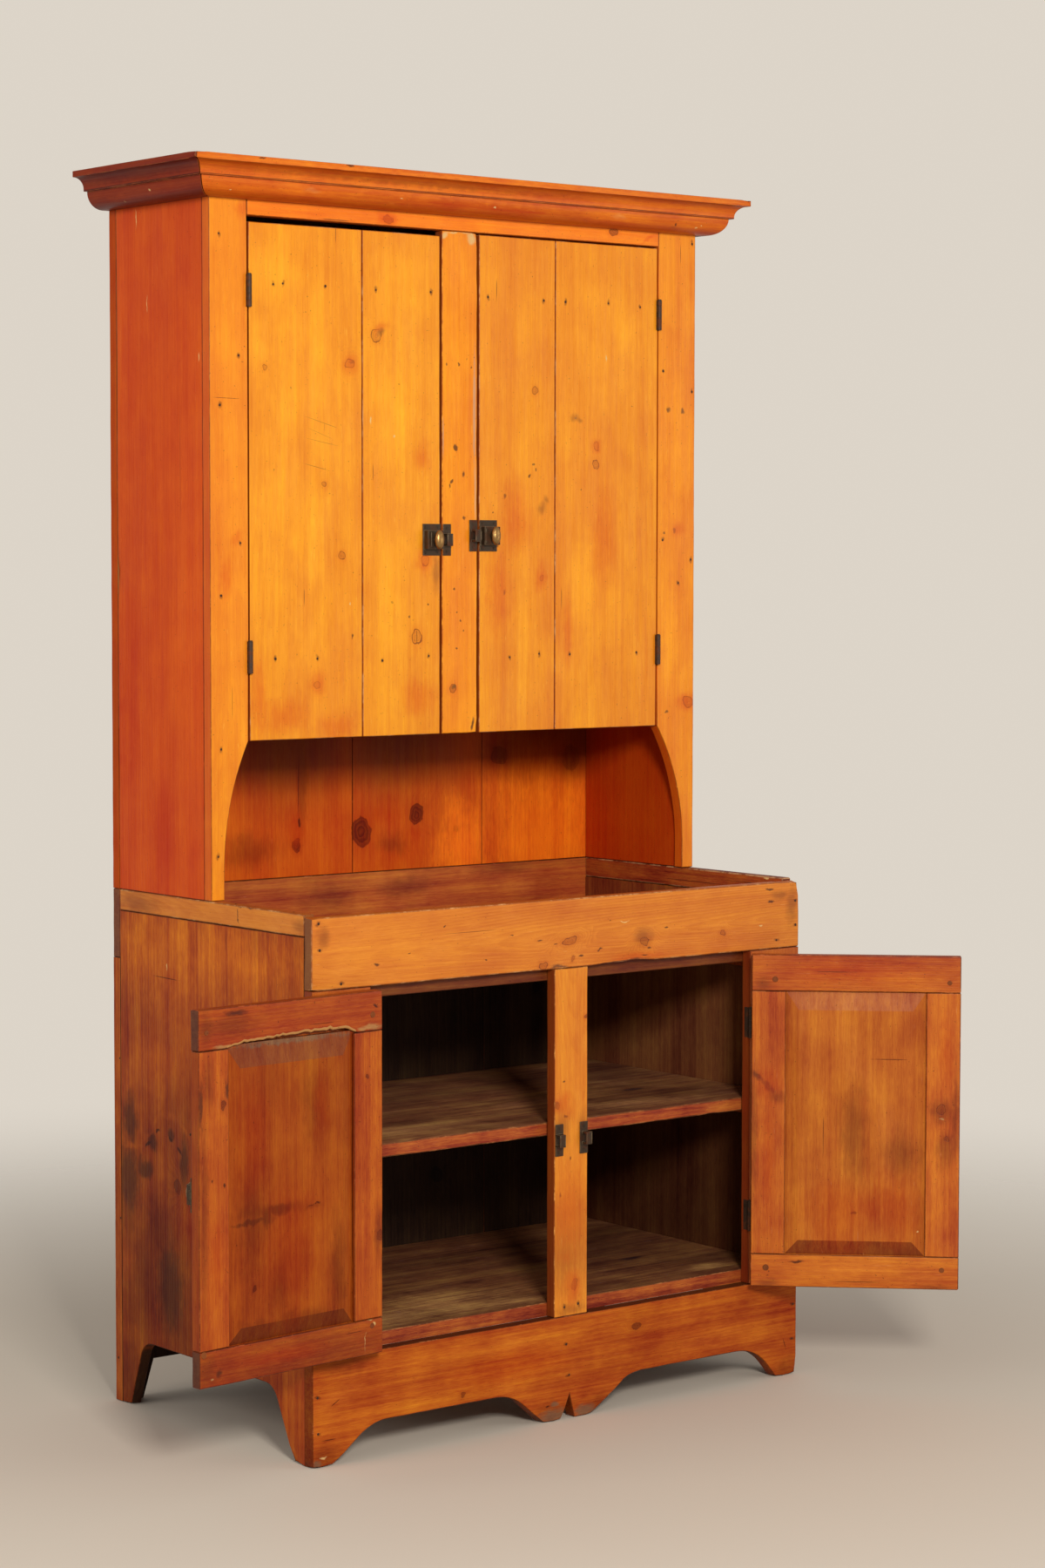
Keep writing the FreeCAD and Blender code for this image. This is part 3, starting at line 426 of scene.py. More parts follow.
def aged(node, finish, slot, bevel=2.0, wear=0.8, step=24, sag=1.0, bites=(), carve=None,
         crisp=25, square=None, hung=None, body="cabinet"):
    """A board's own shape with its arrises rounded and worn, and its faces a little uneven, cut into
    cells of one step so that they can be. Bites are where it was knocked: each a place, a radius and
    a depth in millimetres. Carve moves a point given in millimetres and says how far it is torn.
    Edges over crisp degrees stay sharp to the eye. Those in the square plane, an axis and a distance
    along it, stay square because another board beds on them. Faces that close on themselves are one
    board. Vertices carry the number of their board, whether they lie on an arris, and whether they
    were torn. A hung board is worked in its door's own frame."""
    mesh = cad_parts[node].data.copy()
    bm = bmesh.new()
    bm.from_mesh(mesh)
    frame_of = Matrix.Identity(4)
    if hung:
        frame_of = Matrix.Translation((*hung[0], 0)) @ swung(hung[1])
    bm.transform(frame_of.inverted())
    board = bm.verts.layers.float.new("board")
    arris = bm.verts.layers.float.new("arris")
    torn = bm.verts.layers.float.new("torn")
    boards, run, unmatched = [], {}, set()
    for face in bm.faces:
        run.update(dict.fromkeys(face.verts))
        for loop in face.loops:
            way = [tuple(round(c, 6) for c in v.co) for v in (loop.vert, loop.link_loop_next.vert)]
            if (way[1], way[0]) in unmatched:
                unmatched.remove((way[1], way[0]))
            else:
                unmatched.add(tuple(way))
        if not unmatched:
            boards.append(run)
            run = {}
    for number, verts in enumerate(boards + [run]):
        for vert in verts:
            vert[board] = number
        bmesh.ops.remove_doubles(bm, verts=list(verts), dist=TOUCHING)
    bmesh.ops.dissolve_limit(bm, angle_limit=IN_LINE, verts=bm.verts, edges=bm.edges)
    bedded = {v for v in bm.verts if min(e.calc_length() for e in v.link_edges) < bevel * 1.1 * MM}
    if square:
        bedded |= {v for v in bm.verts if abs(v.co[square[0]] - square[1] * MM) < TOUCHING}
    sharp = [
        edge
        for edge in bm.edges
        if edge.is_manifold
        and edge.calc_face_angle(0) > ARRIS
        and not bedded.issuperset(edge.verts)
    ]
    made = bmesh.ops.bevel(
        bm, geom=sharp, offset=bevel * MM, segments=3, profile=0.6, affect="EDGES", clamp_overlap=True
    )
    strip = set(made["faces"])
    for vert in made["verts"]:
        vert[arris] = float(all(face in strip for face in vert.link_faces))
    for edge in bm.edges:
        inside_strip = any(face in strip for face in edge.link_faces)
        edge.smooth = inside_strip or edge.calc_face_angle(0) < math.radians(crisp)
    low = [min(v.co[i] for v in bm.verts) for i in range(3)]
    high = [max(v.co[i] for v in bm.verts) for i in range(3)]
    for axis in range(3):
        normal = Vector([float(i == axis) for i in range(3)])
        pieces = int((high[axis] - low[axis]) / (step * MM))
        for place in range(1, pieces):
            middle = normal * (low[axis] + (high[axis] - low[axis]) * place / pieces)
            everything = bm.verts[:] + bm.edges[:] + bm.faces[:]
            bmesh.ops.bisect_plane(bm, geom=everything, plane_co=middle, plane_no=normal)
    bm.normal_update()
    moves = []
    for vert in bm.verts:
        apart = Vector((vert[board] * 3, 0, 0))
        rub = max(0.0, noise.fractal(vert.co * 14 + apart, 0.7, 2.1, 3) + 0.2)
        dip = sag * (0.12 + 0.12 * noise.noise(vert.co * 9 + apart)) + vert[arris] * wear * rub * 0.7
        for place, reach, depth in bites:
            far = (vert.co - Vector(place) * MM).length / (reach * MM)
            if far < 1:
                dip += depth * (1 - far * far) * (0.75 + 0.5 * noise.noise(vert.co * 160))
        moves.append(vert.normal * (-dip * MM))
    for vert, shift in zip(bm.verts, moves):
        vert.co += shift
        if carve:
            carved, vert[torn] = carve(vert.co / MM)
            vert.co = carved * MM
    for face in bm.faces:
        face.smooth = True
    bm.transform(frame_of)
    bm.to_mesh(mesh)
    bm.free()
    thing = show(mesh, "aged_" + node, finish, body, slot, node)
    shading = thing.modifiers.new("faces_lead", "WEIGHTED_NORMAL")
    shading.weight = 80
    shading.keep_sharp = True
    return thing


driven = {}


def nail(places, out, body="cabinet"):
    """Keeps where nails were driven into a body: points in millimetres, and the way their heads face."""
    driven.setdefault(body, []).extend((Vector(place) * MM, Vector(out)) for place in places)


def nail_front(places, front, body="cabinet"):
    """Nails driven from the front, into a face at some depth."""
    nail([(across, front, up) for across, up in places], (0, -1, 0), body)


def turned_over(places):
    """Places of marks for a board that lies across, whose grain runs from side to side."""
    return [(up, across) for across, up in places]


BACK, CASE_WIDTH = 553, 992
BETWEEN_SIDES, BEHIND_BACK = (19.7, 972.3), (552.2, 560)
# marks on a side are placed by depth and height
side_nails = [(545, 70), (536, 300), (536, 560), (60, 463), (330, 463)]
nail([(0, y, z) for y, z in side_nails], (-1, 0, 0))
nail([(CASE_WIDTH, min(y, 536), z) for y, z in side_nails], (1, 0, 0))
lower_side_finish = pine(
    "brown_lower_sides", "YXZ", (0.36, 0.064, 0.007), (0.25, 0.038, 0.005), (0.2, 0.028, 0.005), ring=7,
    pith=(300, 40), ringing=0.6, clouding=0.7, contrast=1.1, edge=(0.05, 0.012, 0.005), specular=0.1,
    flank=(0.035, 0.017, 0.01), ends=(0.05, 0.02, 0.011),
    # inside, below the shelf the wall is painted darker as shade; above it and in the well it keeps a
    # bare colour
    inner=[(*BETWEEN_SIDES, 0, 460, (0.08, 0.026, 0.01)), (*BETWEEN_SIDES, 460, 720, (0.2, 0.066, 0.024)),
        (*BETWEEN_SIDES, 722, 840, (0.2, 0.042, 0.013))], knot=[(367, 376, 9, 12, 20), (548, 70, 4, 6)],
    bright=[(290, 745, 300, 74)],
    soil=[(510, 300, 30, 60), (508, 160, 40, 70), (512, 20, 40, 60), (396, 215, 90, 130),
        (430, 290, 40, 60), (372, 140, 70, 60), (520, 60, 60, 60), (250, 250, 60, 160),
        (300, 100, 90, 60), (470, 200, 40, 130)],
    stain=[(510, 370, 38, 62), (506, 466, 28, 40), (462, 392, 26, 20), (348, 412, 14, 50),
        (390, 205, 40, 80), (440, 438, 14, 20, 30), (386, 456, 11, 10)],
    red=[(330, 330, 40, 60), (240, 560, 50, 60)],
    gold=[(500, 423, 30, 4, 4), (456, 444, 22, 4, 35), (430, 474, 20, 4, 50), (390, 484, 36, 5, -4),
        (345, 466, 24, 4, -45), (415, 396, 14, 26), (130, 640, 60, 60), (340, 700, 160, 90),
        (420, 560, 90, 60), (546, 420, 6, 200)],
    dark=[(452, 432, 13, 4, 35), (424, 456, 9, 3.5, 30), (386, 450, 7, 4), (362, 432, 10, 3.5, -40),
        (337, 358, 5, 12)], crack=[(398, 703, 43, 1.0, -1), (300, 640, 0.6, 60), (228, 775, 0.8, 24)],
    pale=[(396, 720, 2, 6)], rust=side_nails[:3],
)
for node in ("lower_side_left", "lower_side_right"):
    aged(node, lower_side_finish, "lower_pine", bites=[((0, 50, 0), 18, 4), ((0, 508, 0), 16, 4)])
rim_finish = pine(
    "worn_rims", "ZXY", (0.68, 0.23, 0.032), (0.5, 0.13, 0.016), (0.41, 0.065, 0.01), ring=3,
    pith=(812, 60), worn=0.7, gloss=0.5, edge=(0.12, 0.03, 0.012), bare=(0.74, 0.38, 0.14),
    soil=[(815, 480, 20, 60), (815, 30, 12, 20)], dark=[(817, 195, 20, 1.2), (833, 175, 2, 26)],
)
stained_rim_finish = pine(
    "stained_right_rim", "ZXY", (0.36, 0.065, 0.014), (0.24, 0.04, 0.01), (0.18, 0.028, 0.008), ring=3,
    pith=(812, 60), worn=1.0, gloss=0.5, edge=(0.08, 0.02, 0.01), bare=(0.62, 0.34, 0.16), contrast=1.4,
    crack=[(812, 240, 0.8, 90), (820, 120, 0.8, 60), (806, 350, 0.7, 80)], pale=[(831, 60, 2, 7)],
)
aged("rim_strip_left", rim_finish, "well_pine", bevel=3, wear=1.8)
aged("rim_strip_right", stained_rim_finish, "well_pine", bevel=3, wear=1.8)
nail([(x, y, 834) for x in (10, 982) for y in (60, 215)], (0, 0, 1))


# ---- Well: its front board, back board and floor ----
# The open tray that gives a dry sink its name. The front board hides the ends of the rims and is
# nailed to them, its top arris worn round and pale by use; inside, the wood is stained by water.
CASE_FRONT = 0
front_nails = [(13, 821), (15, 781), (54, 728), (983, 797), (984, 757), (941, 734)]
nail_front(front_nails, CASE_FRONT)
well_front_finish = pine(
    "worn_well_front", "ZYX", (0.68, 0.215, 0.024), (0.52, 0.13, 0.014), (0.46, 0.09, 0.01), ring=4,
    pith=(770, 50), worn=0.7, gloss=0.45, ringing=0.45, edge=(0.2, 0.05, 0.016), bare=(0.78, 0.4, 0.15),
    knot=[(763, 498, 5, 14, 12), (752, 652, 6, 9), (728, 443, 5, 7), (733, 503, 3, 4), (755, 821, 4, 5)],
    knotty=0.35, soil=[(800, 22, 16, 12), (790, 975, 30, 12), (760, 650, 14, 20), (808, 948, 8, 20)],
    red=[(727, 640, 8, 60)], ends=(0.1, 0.04, 0.02), stain=[(722, 620, 3, 50), (724, 475, 3, 20)],
    dark=[(745, 560, 2, 6, 20), (738, 520, 2, 5), (760, 470, 1.5, 4), (770, 700, 1.5, 5),
        (790, 580, 1.2, 3), (778, 380, 1.2, 4), (802, 250, 1.5, 3), (744, 330, 1.5, 4),
        (765, 180, 1.2, 3), (820, 927, 3, 12), (799, 928, 2, 9), (752, 120, 3, 7), (767, 437, 2, 6),
        (742, 663, 3, 5), (728, 655, 2, 9)], crack=[(723, 610, 1.2, 44), (790, 300, 0.5, 60)],
    pale=[(760, 905, 1.5, 6), (786, 610, 1.2, 9)], rust=turned_over(front_nails),
)
aged(
    "well_front_board", well_front_finish, "well_pine", bevel=3, wear=1.7, step=12,
    bites=[((992, 0, 830), 20, 5), ((0, 0, 830), 14, 3), ((600, 0, 720), 26, 3), ((640, 0, 720), 30, 4.5),
        ((570, 0, 720), 16, 2.5), ((960, 8, 831), 18, 2.5), ((1, 0, 722), 12, 2.5)],
)
well_back_finish = pine(
    "stained_well_back", "ZYX", (0.54, 0.122, 0.022), (0.36, 0.074, 0.014), (0.24, 0.046, 0.01), ring=5,
    contrast=1.0, clouding=0.8, pith=(780, 70), gloss=0.5, edge=(0.04, 0.012, 0.006),
    ends=(0.09, 0.034, 0.02),
    soil=[(805, 571, 16, 60), (796, 407, 20, 50), (827, 790, 14, 80), (730, 500, 12, 500)],
)
aged("well_back_board", well_back_finish, "well_pine", wear=1.5)
well_floor_finish = pine(
    "stained_well_floor", "YZX", (0.26, 0.055, 0.012), (0.17, 0.034, 0.008), (0.12, 0.022, 0.006),
    contrast=1.2, ring=6, pith=(280, 60), gloss=0.52, edge=(0.05, 0.015, 0.006),
    soil=[(60, 300, 40, 200), (500, 700, 50, 180)], grey=[(300, 400, 30, 90), (200, 760, 24, 70)],
)
aged("well_floor", well_floor_finish, "inner_pine")


# ---- Front of the lower case: three stiles and the scalloped apron ----
# Pine boards nailed to the sides and shelves. The apron is one board sawn to two flat arches with a
# notched drop between them; its lobes are stained grey-brown from mopping.
centre_nails = [(476, 455), (526, 458), (488, 180), (516, 182)]
nail_front(centre_nails, CASE_FRONT)
lower_centre_finish = pine(
    "shellac_lower_centre_stile", "XYZ", (0.72, 0.25, 0.022), (0.6, 0.165, 0.014), (0.52, 0.095, 0.009),
    flank=(0.2, 0.028, 0.006), pith=(500, 60), edge=(0.14, 0.02, 0.006), worn=0.6,
    knot=[(509, 213, 6, 9), (472, 503, 4, 6), (530, 640, 3, 4)],
    soil=[(480, 470, 18, 30), (526, 460, 12, 30), (500, 175, 30, 8), (500, 280, 60, 90)],
    dark=[(490, 485, 5, 3), (479, 361, 3, 4), (500, 416, 2, 4), (487, 540, 2, 3)],
    red=[(486, 500, 16, 20), (505, 213, 20, 30), (500, 330, 40, 80)], rust=centre_nails,
)
aged("lower_stile_centre", lower_centre_finish, "lower_pine", wear=1.2)
outer_nails = [(14, 700), (14, 560), (14, 400), (14, 230), (978, 700), (978, 560), (978, 400), (978, 230)]
nail_front(outer_nails, CASE_FRONT)
lower_stile_finish = pine(
    "shellac_lower_outer_stiles", "XYZ", (0.5, 0.12, 0.014), (0.38, 0.07, 0.008), (0.3, 0.045, 0.006),
    flank=(0.2, 0.028, 0.006), pith=(60, 70), edge=(0.1, 0.014, 0.005), clouding=0.7,
    knot=[(60, 520, 8, 10), (930, 330, 7, 9)], rust=outer_nails,
)
for node in ("lower_stile_left", "lower_stile_right"):
    aged(node, lower_stile_finish, "lower_pine")
apron_nails = [(9, 107), (10, 52), (984, 118), (982, 60), (492, 120), (498, 70)]
nail_front(apron_nails, CASE_FRONT)
apron_finish = pine(
    "shellac_apron", "ZYX", (0.44, 0.092, 0.01), (0.31, 0.052, 0.006), (0.27, 0.04, 0.005), ring=6,
    contrast=1.0, pith=(110, 40), worn=0.5, ringing=0.5, clouding=0.7, edge=(0.06, 0.012, 0.005),
    bare=(0.5, 0.16, 0.05),
    soil=[(14, 24, 22, 36), (12, 470, 20, 40), (12, 560, 22, 40), (10, 968, 20, 30), (150, 60, 12, 50)],
    grey=[(27, 469, 5, 9), (8, 470, 14, 44), (8, 530, 12, 30), (6, 8, 8, 10)], specular=0.06,
    flank=(0.05, 0.014, 0.006), red=[(100, 380, 30, 120)], knot=[(70, 287, 4, 6), (128, 640, 6, 8)],
    crack=[(95, 42, 1.0, 12, 30), (54, 965, 12, 1.0, 20), (32, 909, 1.0, 9), (40, 30, 1, 16)],
    dark=[(24, 455, 2, 5)], pale=[(14, 20, 2, 7), (40, 300, 1.2, 5)], rust=turned_over(apron_nails),
)
aged(
    "apron", apron_finish, "lower_pine", wear=1.6, step=14, square=(1, 20),
    bites=[((440, 0, 2), 18, 3), ((482, 0, 0), 8, 2), ((39, 0, 0), 14, 3.5), ((0, 0, 0), 12, 3),
        ((992, 0, 2), 16, 4), ((620, 0, 52), 20, 2), ((946, 0, 0), 12, 2.5)],
)


# ---- Inside of the lower case: floor, shelf, cleats and back boards ----
# Rough pine that never saw shellac, scrubbed grey and pale where pots were pushed in and out. The
# back boards and cleats are painted nearly black as shade. The shelf's front arris is bruised and rubbed.
shelf_look = dict(
    ring=7, pith=(250, 30), gloss=0.62, ringing=0.6, worn=0.7, edge=(0.08, 0.02, 0.008),
    bare=(0.5, 0.18, 0.055), clouding=1.0, contrast=1.6, streaking=0.7, flank=(0.36, 0.068, 0.013),
    scuffed=0.6,
)
shelf_finish = pine(
    "scrubbed_shelf", "YZX", (0.36, 0.145, 0.056), (0.19, 0.07, 0.028), (0.11, 0.038, 0.016),
    **shelf_look, bleach=[(110, 250, 40, 120), (90, 700, 30, 100)],
    soil=[(400, 300, 90, 300), (380, 800, 90, 200)],
    crack=[(250, 720, 1, 60), (110, 560, 1, 60), (160, 300, 0.8, 80)],
    dark=[(200, 800, 9, 30), (150, 180, 6, 12)],
)
floor_finish = pine(
    "scrubbed_floor", "YZX", (0.24, 0.088, 0.033), (0.13, 0.045, 0.018), (0.08, 0.027, 0.011),
    **shelf_look, bleach=[(90, 180, 70, 130), (120, 340, 90, 110), (56, 440, 26, 60), (70, 850, 20, 50)],
    soil=[(400, 300, 90, 300), (300, 760, 120, 200)],
    crack=[(250, 720, 1, 60), (320, 420, 1, 90), (90, 300, 0.8, 60)], dark=[(200, 800, 9, 30)],
)
aged("lower_floor", floor_finish, "inner_pine", square=(2, 165))
aged(
    "lower_shelf", shelf_finish, "inner_pine", bevel=3, wear=2.2, step=12,
    bites=[((200, 24, 474), 22, 3), ((420, 24, 474), 16, 2.5), ((700, 24, 474), 24, 3),
        ((820, 24, 452), 16, 2)],
)
# the inside faces are painted nearly black as shade; the backs keep the bare wood's colour
inner_wall_finish = pine(
    "shaded_inner_walls", "XYZ", (0.034, 0.014, 0.006), (0.022, 0.009, 0.004), (0.015, 0.006, 0.003),
    ring=7, contrast=1.2, flank=(0.36, 0.07, 0.009), inner=[(*BEHIND_BACK, 0, 2000, (0.2, 0.095, 0.042))],
    pith=(500, 80), gloss=0.62, ringing=0.6, edge=(0.02, 0.008, 0.005),
    knot=[(180, 560, 10, 12), (640, 300, 12, 14), (860, 610, 8, 9)], soil=[(400, 400, 200, 60)],
)
aged("lower_back_boards", inner_wall_finish, "inner_pine", bevel=0.9, wear=0.8)
aged("lower_cleats", inner_wall_finish, "inner_pine", bevel=1.5)
for board in range(4):
    nail([(x + 248 * board, BACK, z) for x in (30, 214) for z in (176, 463, 705)], (0, 1, 0))


# ---- Sides of the upper case ----
# Two wide pine boards, planed by hand and brushed with orange shellac that went deep red outside.
# They are butted and nailed behind the front stiles. Every board's arrises are worn soft.
BARE_CUPBOARD = (0.42, 0.16, 0.045)
upper_side_finish = pine(
    "shellac_upper_sides", "YXZ", (0.6, 0.072, 0.004), (0.52, 0.054, 0.003), (0.5, 0.047, 0.003), ring=5,
    contrast=0.4, scuffed=0.7, specular=0.12, pith=(420, 120), ringing=0.25, streaking=0.4, clouding=0.4,
    inner=[(*BETWEEN_SIDES, 1082, 1960, BARE_CUPBOARD),
        (*BETWEEN_SIDES, 820, 1082, (0.46, 0.044, 0.003))],
    pale=[(295, 1671, 2, 9), (473, 1896, 1.5, 16), (443, 1759, 1, 14)],
    crack=[(531, 1700, 0.8, 190), (350, 1500, 0.5, 120)],
    soil=[(540, 1340, 12, 60), (545, 1000, 10, 120)], red=[(500, 1150, 40, 160), (400, 940, 40, 80)],
    gold=[(310, 1330, 56, 420)],
)
for node in ("upper_side_left", "upper_side_right"):
    aged(node, upper_side_finish, "upper_pine", bites=[((0, 533, 1335), 20, 4)])


# ---- Front of the upper case ----
# Three pine stiles and a top rail, nailed to the sides. The outer stiles curve in to narrow feet
# that stand on the rims of the well.
FRONT_LIGHT, FRONT_LATE, FRONT_DEEP = (0.84, 0.265, 0.012), (0.75, 0.2, 0.01), (0.7, 0.14, 0.007)
CUPBOARD_FRONT = 267
stile_nails = [(18, 1859), (54, 1675), (19, 1598), (56, 1387), (20, 1306), (19, 1069), (13, 903)]
stile_nails += [(920, 1682), (984, 1363), (956, 1323), (984, 1899), (985, 1649), (920, 1396)]
nail_front(stile_nails, CUPBOARD_FRONT)
stile_finish = pine(
    "shellac_outer_stiles", "XYZ", FRONT_LIGHT, FRONT_LATE, FRONT_DEEP, pith=(30, 90),
    flank=(0.6, 0.09, 0.006), gold=[(950, 1550, 30, 160), (940, 1230, 20, 80)], knot=[(979, 1120, 12, 9)],
    knotty=0.5,
    stain=[(932, 1618, 5, 6), (964, 1614, 4, 5), (947, 1413, 4, 4), (923, 1410, 3, 3),
        (930, 1104, 5, 2.5, -10)],
    red=[(59, 1899, 12, 14), (50, 1394, 9, 14, 20), (30, 1330, 12, 30), (955, 1415, 16, 14),
        (975, 1120, 24, 14)], crack=[(29, 1609, 29, 0.6, 1), (958, 1880, 0.6, 20), (40, 1140, 0.6, 30)],
    rust=stile_nails,
)
for node in ("upper_stile_left", "upper_stile_right"):
    aged(node, stile_finish, "upper_pine")
centre_stile_finish = pine(
    "shellac_centre_stile", "XYZ", (0.87, 0.28, 0.008), (0.78, 0.21, 0.006), FRONT_DEEP, pith=(470, 80),
    worn=0.75, clouding=0.4, edge=(0.26, 0.034, 0.006), flank=(0.24, 0.03, 0.005), knotty=0.5,
    knot=[(470, 1153, 6, 8)], stain=[(472, 1155, 5, 6, 20)],
    scrape=[(514, 1600, 3.5, 110), (516, 1470, 2, 60), (450, 1560, 1.5, 40)],
    pale=[(508, 1880, 11, 10), (452, 1884, 8, 6), (484, 1888.5, 40, 2)],
    dark=[(457, 1675, 2.4, 3), (481, 1678, 2, 2), (509, 1673, 2.4, 2), (475, 1545, 4.5, 4.5),
        (467, 1487, 3, 8, 30), (492, 1501, 3, 4), (463, 1479, 2, 4), (494, 1431, 3, 5), (472, 1315, 2, 3),
        (511, 1093, 4, 12, 15), (478, 1276, 2, 2), (485, 1262, 2, 2), (492, 1247, 2, 2),
        (479, 1220, 2, 2)],
)
aged(
    "upper_stile_centre", centre_stile_finish, "upper_pine", wear=1.5, step=12,
    bites=[((520, 267, 1887), 14, 3), ((448, 267, 1880), 10, 2.5), ((520, 267, 1085), 12, 3)],
)
rail_nails = [(84, 1934), (300, 1921), (520, 1935), (742, 1920), (896, 1934)]
nail_front(rail_nails, CUPBOARD_FRONT)
top_rail_finish = pine(
    "shellac_top_rail", "ZYX", (0.9, 0.235, 0.008), (0.82, 0.175, 0.007), (0.74, 0.12, 0.005),
    pith=(1890, 70), knot=[(1901, 339, 6, 9, -15), (1910, 809, 7, 9)],
    red=[(1904, 888, 3, 22, 25), (1901, 339, 12, 20)], dark=[(1916, 158, 2, 5)],
    crack=[(1893, 240, 1, 40)], rust=turned_over(rail_nails),
)
aged("upper_top_rail", top_rail_finish, "upper_pine")


# ---- Back boards of the upper case ----
# Four upright pine boards nailed on from behind; below the cupboard they are the back of the alcove,
# brushed with the same red shellac and full of knots. The cupboard's shadow is painted across the
# alcove's top, and a pool of light on its right part.
alcove_back_finish = pine(
    "shellac_alcove_back", "XYZ", (0.64, 0.102, 0.007), (0.53, 0.073, 0.006), (0.44, 0.05, 0.004), ring=6,
    contrast=0.5, specular=0.05, knotty=1.0,
    inner=[(*BEHIND_BACK, 0, 2000, (0.3, 0.135, 0.055)), (530, 552.2, 1092, 1960, BARE_CUPBOARD)],
    pith=(520, 60), edge=(0.05, 0.01, 0.004), gloss=0.45,
    knot=[(346, 887, 9, 10), (479, 903, 19, 24, -20), (596, 927, 14, 18, 15), (681, 900, 5, 6),
        (777, 1021, 17, 16), (938, 1012, 18, 22), (700, 1300, 10, 12), (260, 1600, 9, 11),
        (860, 1750, 10, 10)],
    red=[(560, 870, 70, 40), (585, 890, 26, 24), (530, 930, 40, 30), (346, 915, 16, 40)],
    crack=[(350, 985, 1.2, 54), (461, 950, 1.4, 150)], dark=[(352, 925, 3, 8)],
    # the bright places paint a pool of light on the alcove's right part
    bright=[(700, 870, 60, 70), (880, 885, 140, 120)],
    soil=[(358, 985, 10, 60), (777, 1030, 40, 26), (938, 1016, 40, 40), (545, 880, 34, 20),
        (250, 880, 60, 30)],
    # these last marks paint the cupboard's shadow across the top of the alcove, dark with a smooth rim
    smoke=[(70, 1092, 230, 150), (330, 1092, 190, 150), (560, 1090, 190, 140), (880, 1090, 230, 112)],
)
aged("upper_back_boards", alcove_back_finish, "inner_pine", bevel=1.3, wear=0.8)
NAILED_AT = (30, 154, 214, 431, 491, 708, 768, 962)
nail([(x, BACK, z) for x in NAILED_AT for z in (846, 1091, 1352, 1618, 1960)], (0, 1, 0))


# ---- Inside of the upper case: its floor, two shelves, their cleats, and the top board ----
# Plain pine boards let lie on square cleats. Only the undersides and edges show when a door is open.
cupboard_finish = pine(
    "bare_cupboard_shelves", "YZX", BARE_CUPBOARD, (0.3, 0.09, 0.024), (0.22, 0.05, 0.014), ring=6,
    pith=(400, 40), gloss=0.55, edge=(0.1, 0.03, 0.012), bare=(0.5, 0.28, 0.12),
    soil=[(420, 300, 80, 200), (400, 760, 80, 160)], knot=[(400, 520, 9, 14), (460, 180, 7, 10)],
)
for node in ("alcove_shelf", "upper_shelves", "upper_top_board"):
    knocks = [((300, 317, 1362), 20, 2), ((700, 317, 1628), 20, 2)] if node == "upper_shelves" else []
    aged(node, cupboard_finish, "inner_pine", bites=knocks)
cleat_finish = pine(
    "bare_cleats", "XZY", (0.3, 0.11, 0.032), (0.2, 0.06, 0.018), (0.14, 0.035, 0.01), gloss=0.6,
    edge=(0.06, 0.02, 0.01),
)
aged("upper_cleats", cleat_finish, "inner_pine", bevel=1.5)
nail([(x, y, 1972) for y in (277, 543) for x in (40, 350, 640, 950)], (0, 0, 1))


# ---- Crown moulding ----
# A planed pine moulding, thin fascia over a hollow, a step and a quarter round, mitred at the two
# front corners and nailed on. The hollow is painted dark as shade; the round is rubbed bright.
crown_look = dict(ring=3, pith=(1930, 120), streaking=0.9)
crown_front_finish = pine(
    "shellac_crown_front", "ZYX", (0.7, 0.15, 0.007), (0.58, 0.105, 0.006), (0.48, 0.068, 0.005),
    **crown_look, worn=0.8, edge=(0.16, 0.02, 0.005), bare=(0.8, 0.3, 0.06), contrast=0.7,
    # the first band here, at 1955 mm, lies in the hollow and is painted shade
    soil=[(1955, 330, 6, 400), (1953, 322, 6, 16), (1918, 916, 5, 14), (1924, 470, 10, 260)],
    red=[(1916, 400, 4, 500), (1926, 480, 11, 240)], crack=[(1942.5, 496, 1.1, 1400)],
    dark=[(1925, 916, 2.5, 5), (1970, 217, 2, 9), (1970, 52, 2, 7)],
    bleach=[(1931, 165, 4, 18), (1930, 790, 4, 18)],
    gold=[(1930, 160, 9, 60), (1929, 790, 9, 60), (1966, 500, 3, 500)],
    pale=[(1921, 18, 1.5, 3), (1928, 527, 1.5, 3), (1924, 962, 1.5, 4), (1927, 973, 1.2, 2),
        (1931, 340, 1, 4)],
)
crown_return_finish = pine(
    "shellac_crown_returns", "ZXY", (0.24, 0.026, 0.003), (0.18, 0.018, 0.003), (0.14, 0.013, 0.003),
    **crown_look, worn=0.9, edge=(0.12, 0.016, 0.005), bare=(0.5, 0.14, 0.03), specular=0.12,
    # the band at 1955 mm lies in the hollow and is painted shade
    soil=[(1955, 370, 8, 240)], crack=[(1942.5, 370, 1.1, 400)],
    gold=[(1926, 330, 8, 60), (1924, 460, 6, 40)], pale=[(1929, 374, 1.5, 4), (1919, 459, 1.5, 3)],
)
aged(
    "crown_front", crown_front_finish, "crown_pine", bevel=1.0, wear=1.0, step=20,
    bites=[((-66, 201, 1972), 12, 2.5), ((1058, 201, 1972), 12, 2.5), ((400, 200, 1962), 14, 1.2)],
)
aged(
    "crown_returns", crown_return_finish, "crown_pine", bevel=1.0, step=20,
    bites=[((-66, 205, 1966), 12, 2)],
)


